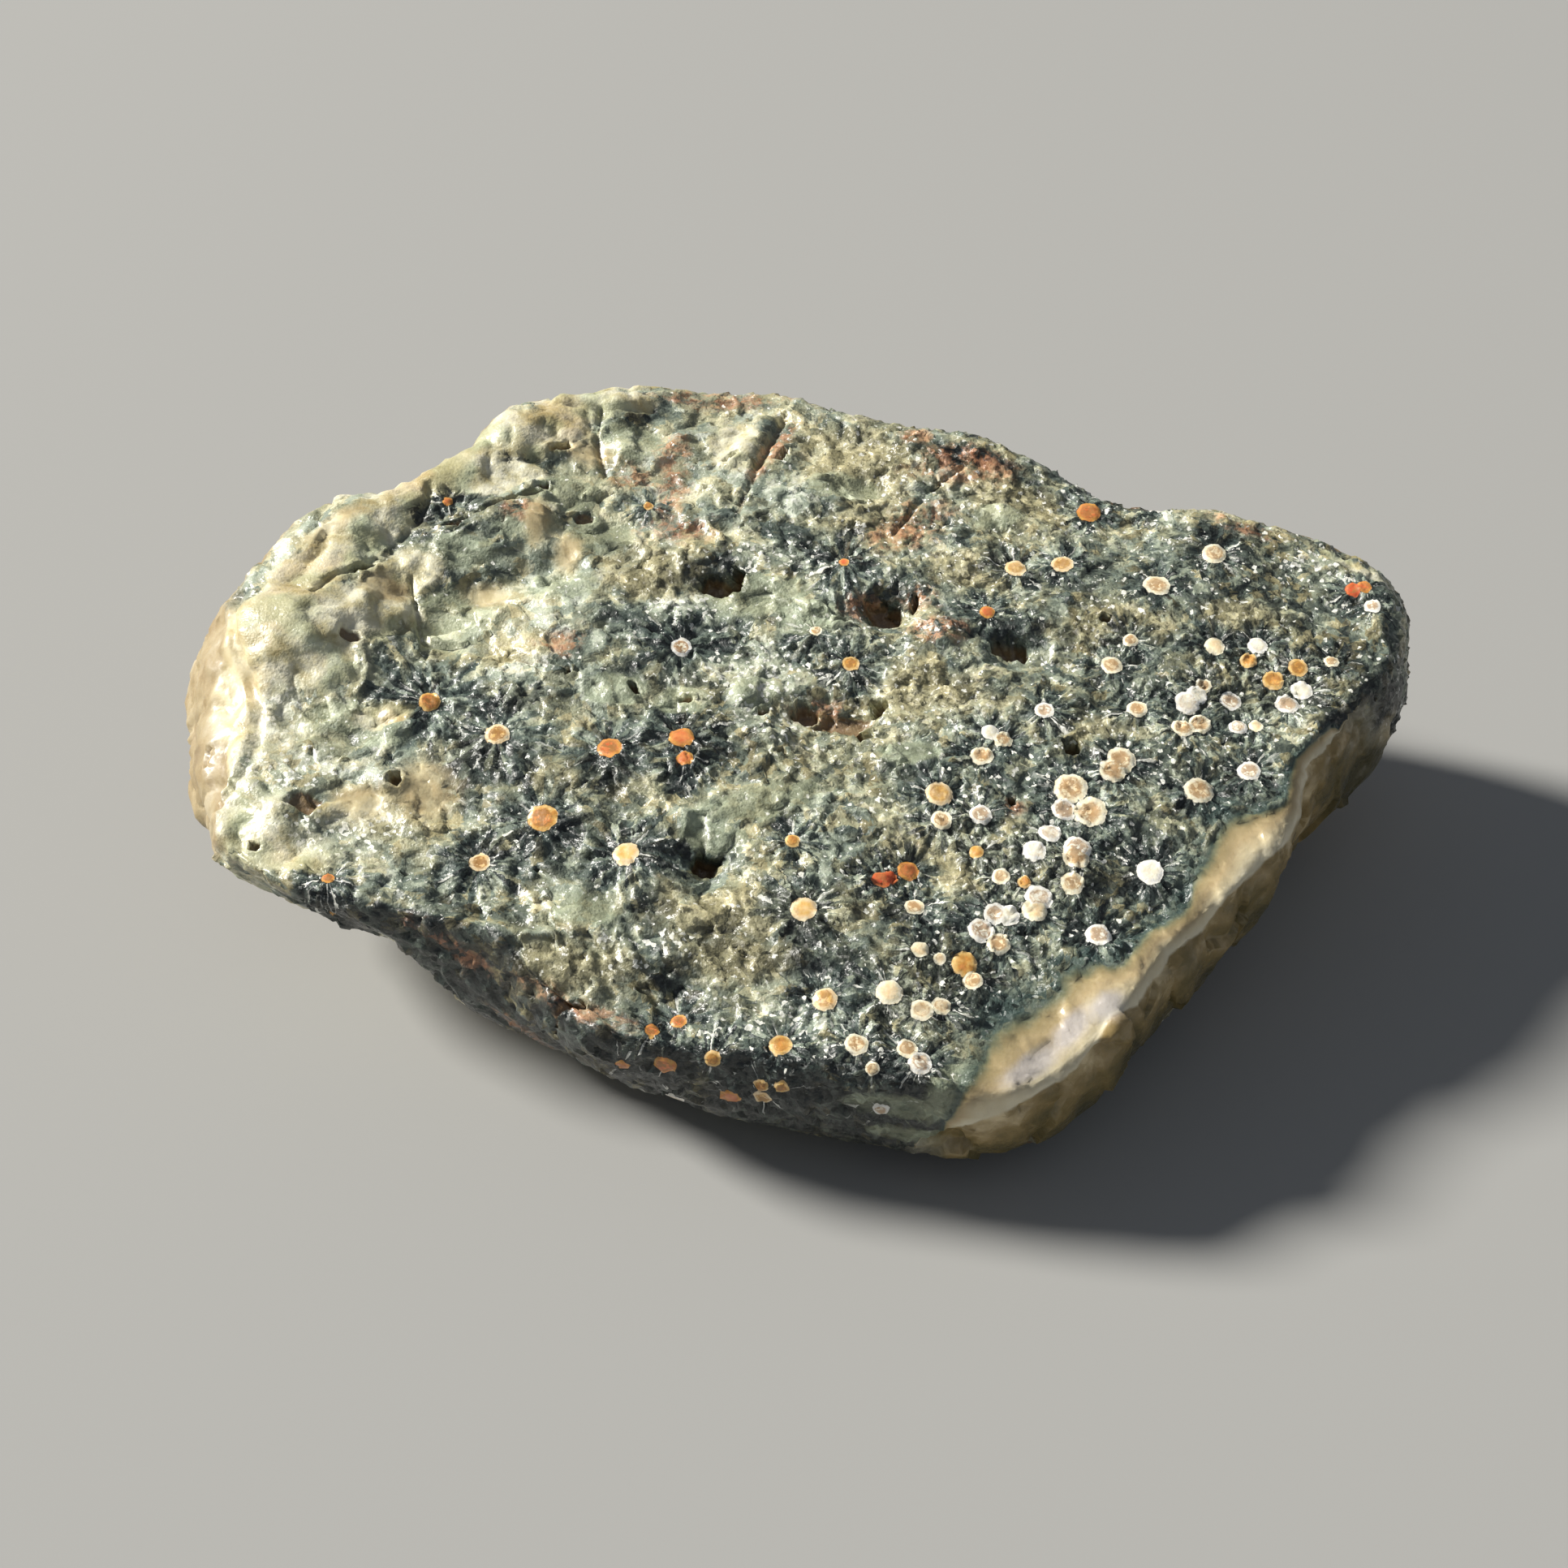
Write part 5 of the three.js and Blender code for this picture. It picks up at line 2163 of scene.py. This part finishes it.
    def _normal(self, smooth_parts: Wire, dull: Wire, even: Wire) -> Wire:
        """Which way the small facets face, with the finest relief on them.

        Args:
            smooth_parts: Where glass, honey, band or wax smooths the surface.
            dull: Where rind, orbs and pits dull it.
            even: Where it is free of grit.

        Returns:
            The normal.
        """
        bench, finish = self.bench, self.finish
        calm = (1 - dull * 0.85) * (1 - smooth_parts * 0.5) * (1 - self.in_band * 0.9)
        calm = calm * (1 - self.in_honey * 0.7) * (1 - self.left * 0.35)
        tilt = bench.lean(self.fine_colour, calm * 0.7)
        gritty = bench.lean(self.grit_colour, 0.5 - even * 0.5)
        blades = bench.lean(self.thin_colour, self.in_halo * calm * 0.7)
        shape = bench.wire(bench.node("ShaderNodeNewGeometry", {}, {}), "Normal")
        turned = bench.vector("ADD", shape, bench.vector("ADD", tilt, gritty))
        turned = bench.vector("NORMALIZE", bench.vector("ADD", turned, blades))
        height = bench.noise(self.point, self.BUMP_SCALE, detail=1) * (1 - even * 0.85)
        return bench.wire(bench.node("ShaderNodeBump", {}, {
            "Strength": finish.bump, "Distance": finish.bump_mm * METRES_PER_MM,
            "Height": height, "Normal": turned,
        }))


# ---- Studio ----


@dataclass(frozen=True)
class Lamp:
    """A round soft lamp that points at the stone. Its heading leads from the stone to it."""

    name: str
    heading: Triple
    away_mm: float
    width_mm: float
    watts: float
    tint: Triple

    def build(self) -> None:
        """Makes the lamp."""
        data = bpy.data.lights.new(self.name, "AREA")
        data.shape = "DISK"
        data.size = self.width_mm * METRES_PER_MM
        data.energy = self.watts
        data.color = self.tint
        lamp = bpy.data.objects.new(self.name, data)
        way = Vector(self.heading).normalized()
        lamp.location = way * self.away_mm * METRES_PER_MM
        lamp.rotation_euler = way.to_track_quat("Z", "Y").to_euler()
        bpy.context.scene.collection.objects.link(lamp)


@dataclass
class Studio:
    """The floor and the light.

    Attributes:
        floor_mm: Side of the floor.
        floor_gap_mm: How far it lies under the stone, so that the two don't share a plane.
        floor_tone: Its colour.
        floor_rough: Its roughness.
        floor_gloss: How much it reflects.
        lamps: The main light, then the large soft one overhead.
        sky: Brightness of the surroundings.
        sky_tint: Their colour, as light.
    """

    floor_mm: float = 1600.0
    floor_gap_mm: float = 0.02
    floor_tone: Tone = Tone(160, 160, 158)
    floor_rough: float = 0.95
    floor_gloss: float = 0.1
    lamps: tuple[Lamp, ...] = (
        Lamp("key", (-0.79, 0.22, 0.58), 5000.0, 1200.0, 530.0, (1.0, 0.965, 0.90)),
        Lamp("fill", (0.1, -0.5, 0.86), 700.0, 700.0, 0.2, (0.90, 0.95, 1.0)),
    )
    sky: float = 0.17
    sky_tint: Triple = (0.80, 0.87, 1.0)

    def build(self) -> None:
        """Makes the floor, the lamps and the surroundings."""
        self._floor()
        for lamp in self.lamps:
            lamp.build()
        world = bpy.data.worlds.new("surroundings")
        world.use_nodes = True
        shade = world.node_tree.nodes["Background"]
        shade.inputs["Color"].default_value = (*self.sky_tint, 1.0)
        shade.inputs["Strength"].default_value = self.sky
        scene = bpy.context.scene
        scene.world = world
        scene.view_settings.view_transform = "Standard"

    def _floor(self) -> None:
        """A plain pale floor under the stone."""
        half = self.floor_mm / 2 * METRES_PER_MM
        mesh = bpy.data.meshes.new("floor")
        corners = [(-half, -half, 0), (half, -half, 0), (half, half, 0), (-half, half, 0)]
        mesh.from_pydata(corners, [], [(0, 1, 2, 3)])
        floor = bpy.data.objects.new("floor", mesh)
        floor.location.z = -self.floor_gap_mm * METRES_PER_MM
        bpy.context.scene.collection.objects.link(floor)
        material = bpy.data.materials.new("floor")
        bench = Bench(material)
        coat = bench.node("ShaderNodeBsdfPrincipled", {}, {
            "Base Color": self.floor_tone, "Roughness": self.floor_rough,
            "Specular IOR Level": self.floor_gloss,
        })
        bench.node("ShaderNodeOutputMaterial", {}, {"Surface": bench.wire(coat)})
        mesh.materials.append(material)


def main() -> None:
    """Builds the camera, the stone and the studio, in that order."""
    logging.basicConfig(level=logging.INFO, format="%(name)s: %(message)s")
    viewpoint = Viewpoint()
    viewpoint.build()
    log.info("camera made")
    stone = StoneBody(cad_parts[NODE_NAME], viewpoint, Skin()).build()
    log.info("stone made: %d faces", len(stone.data.polygons))
    stone.data.materials.clear()
    stone.data.materials.append(JasperFinish().build())
    log.info("finish made")
    Studio().build()
    log.info("studio made")


if __name__ == "__main__":
    main()
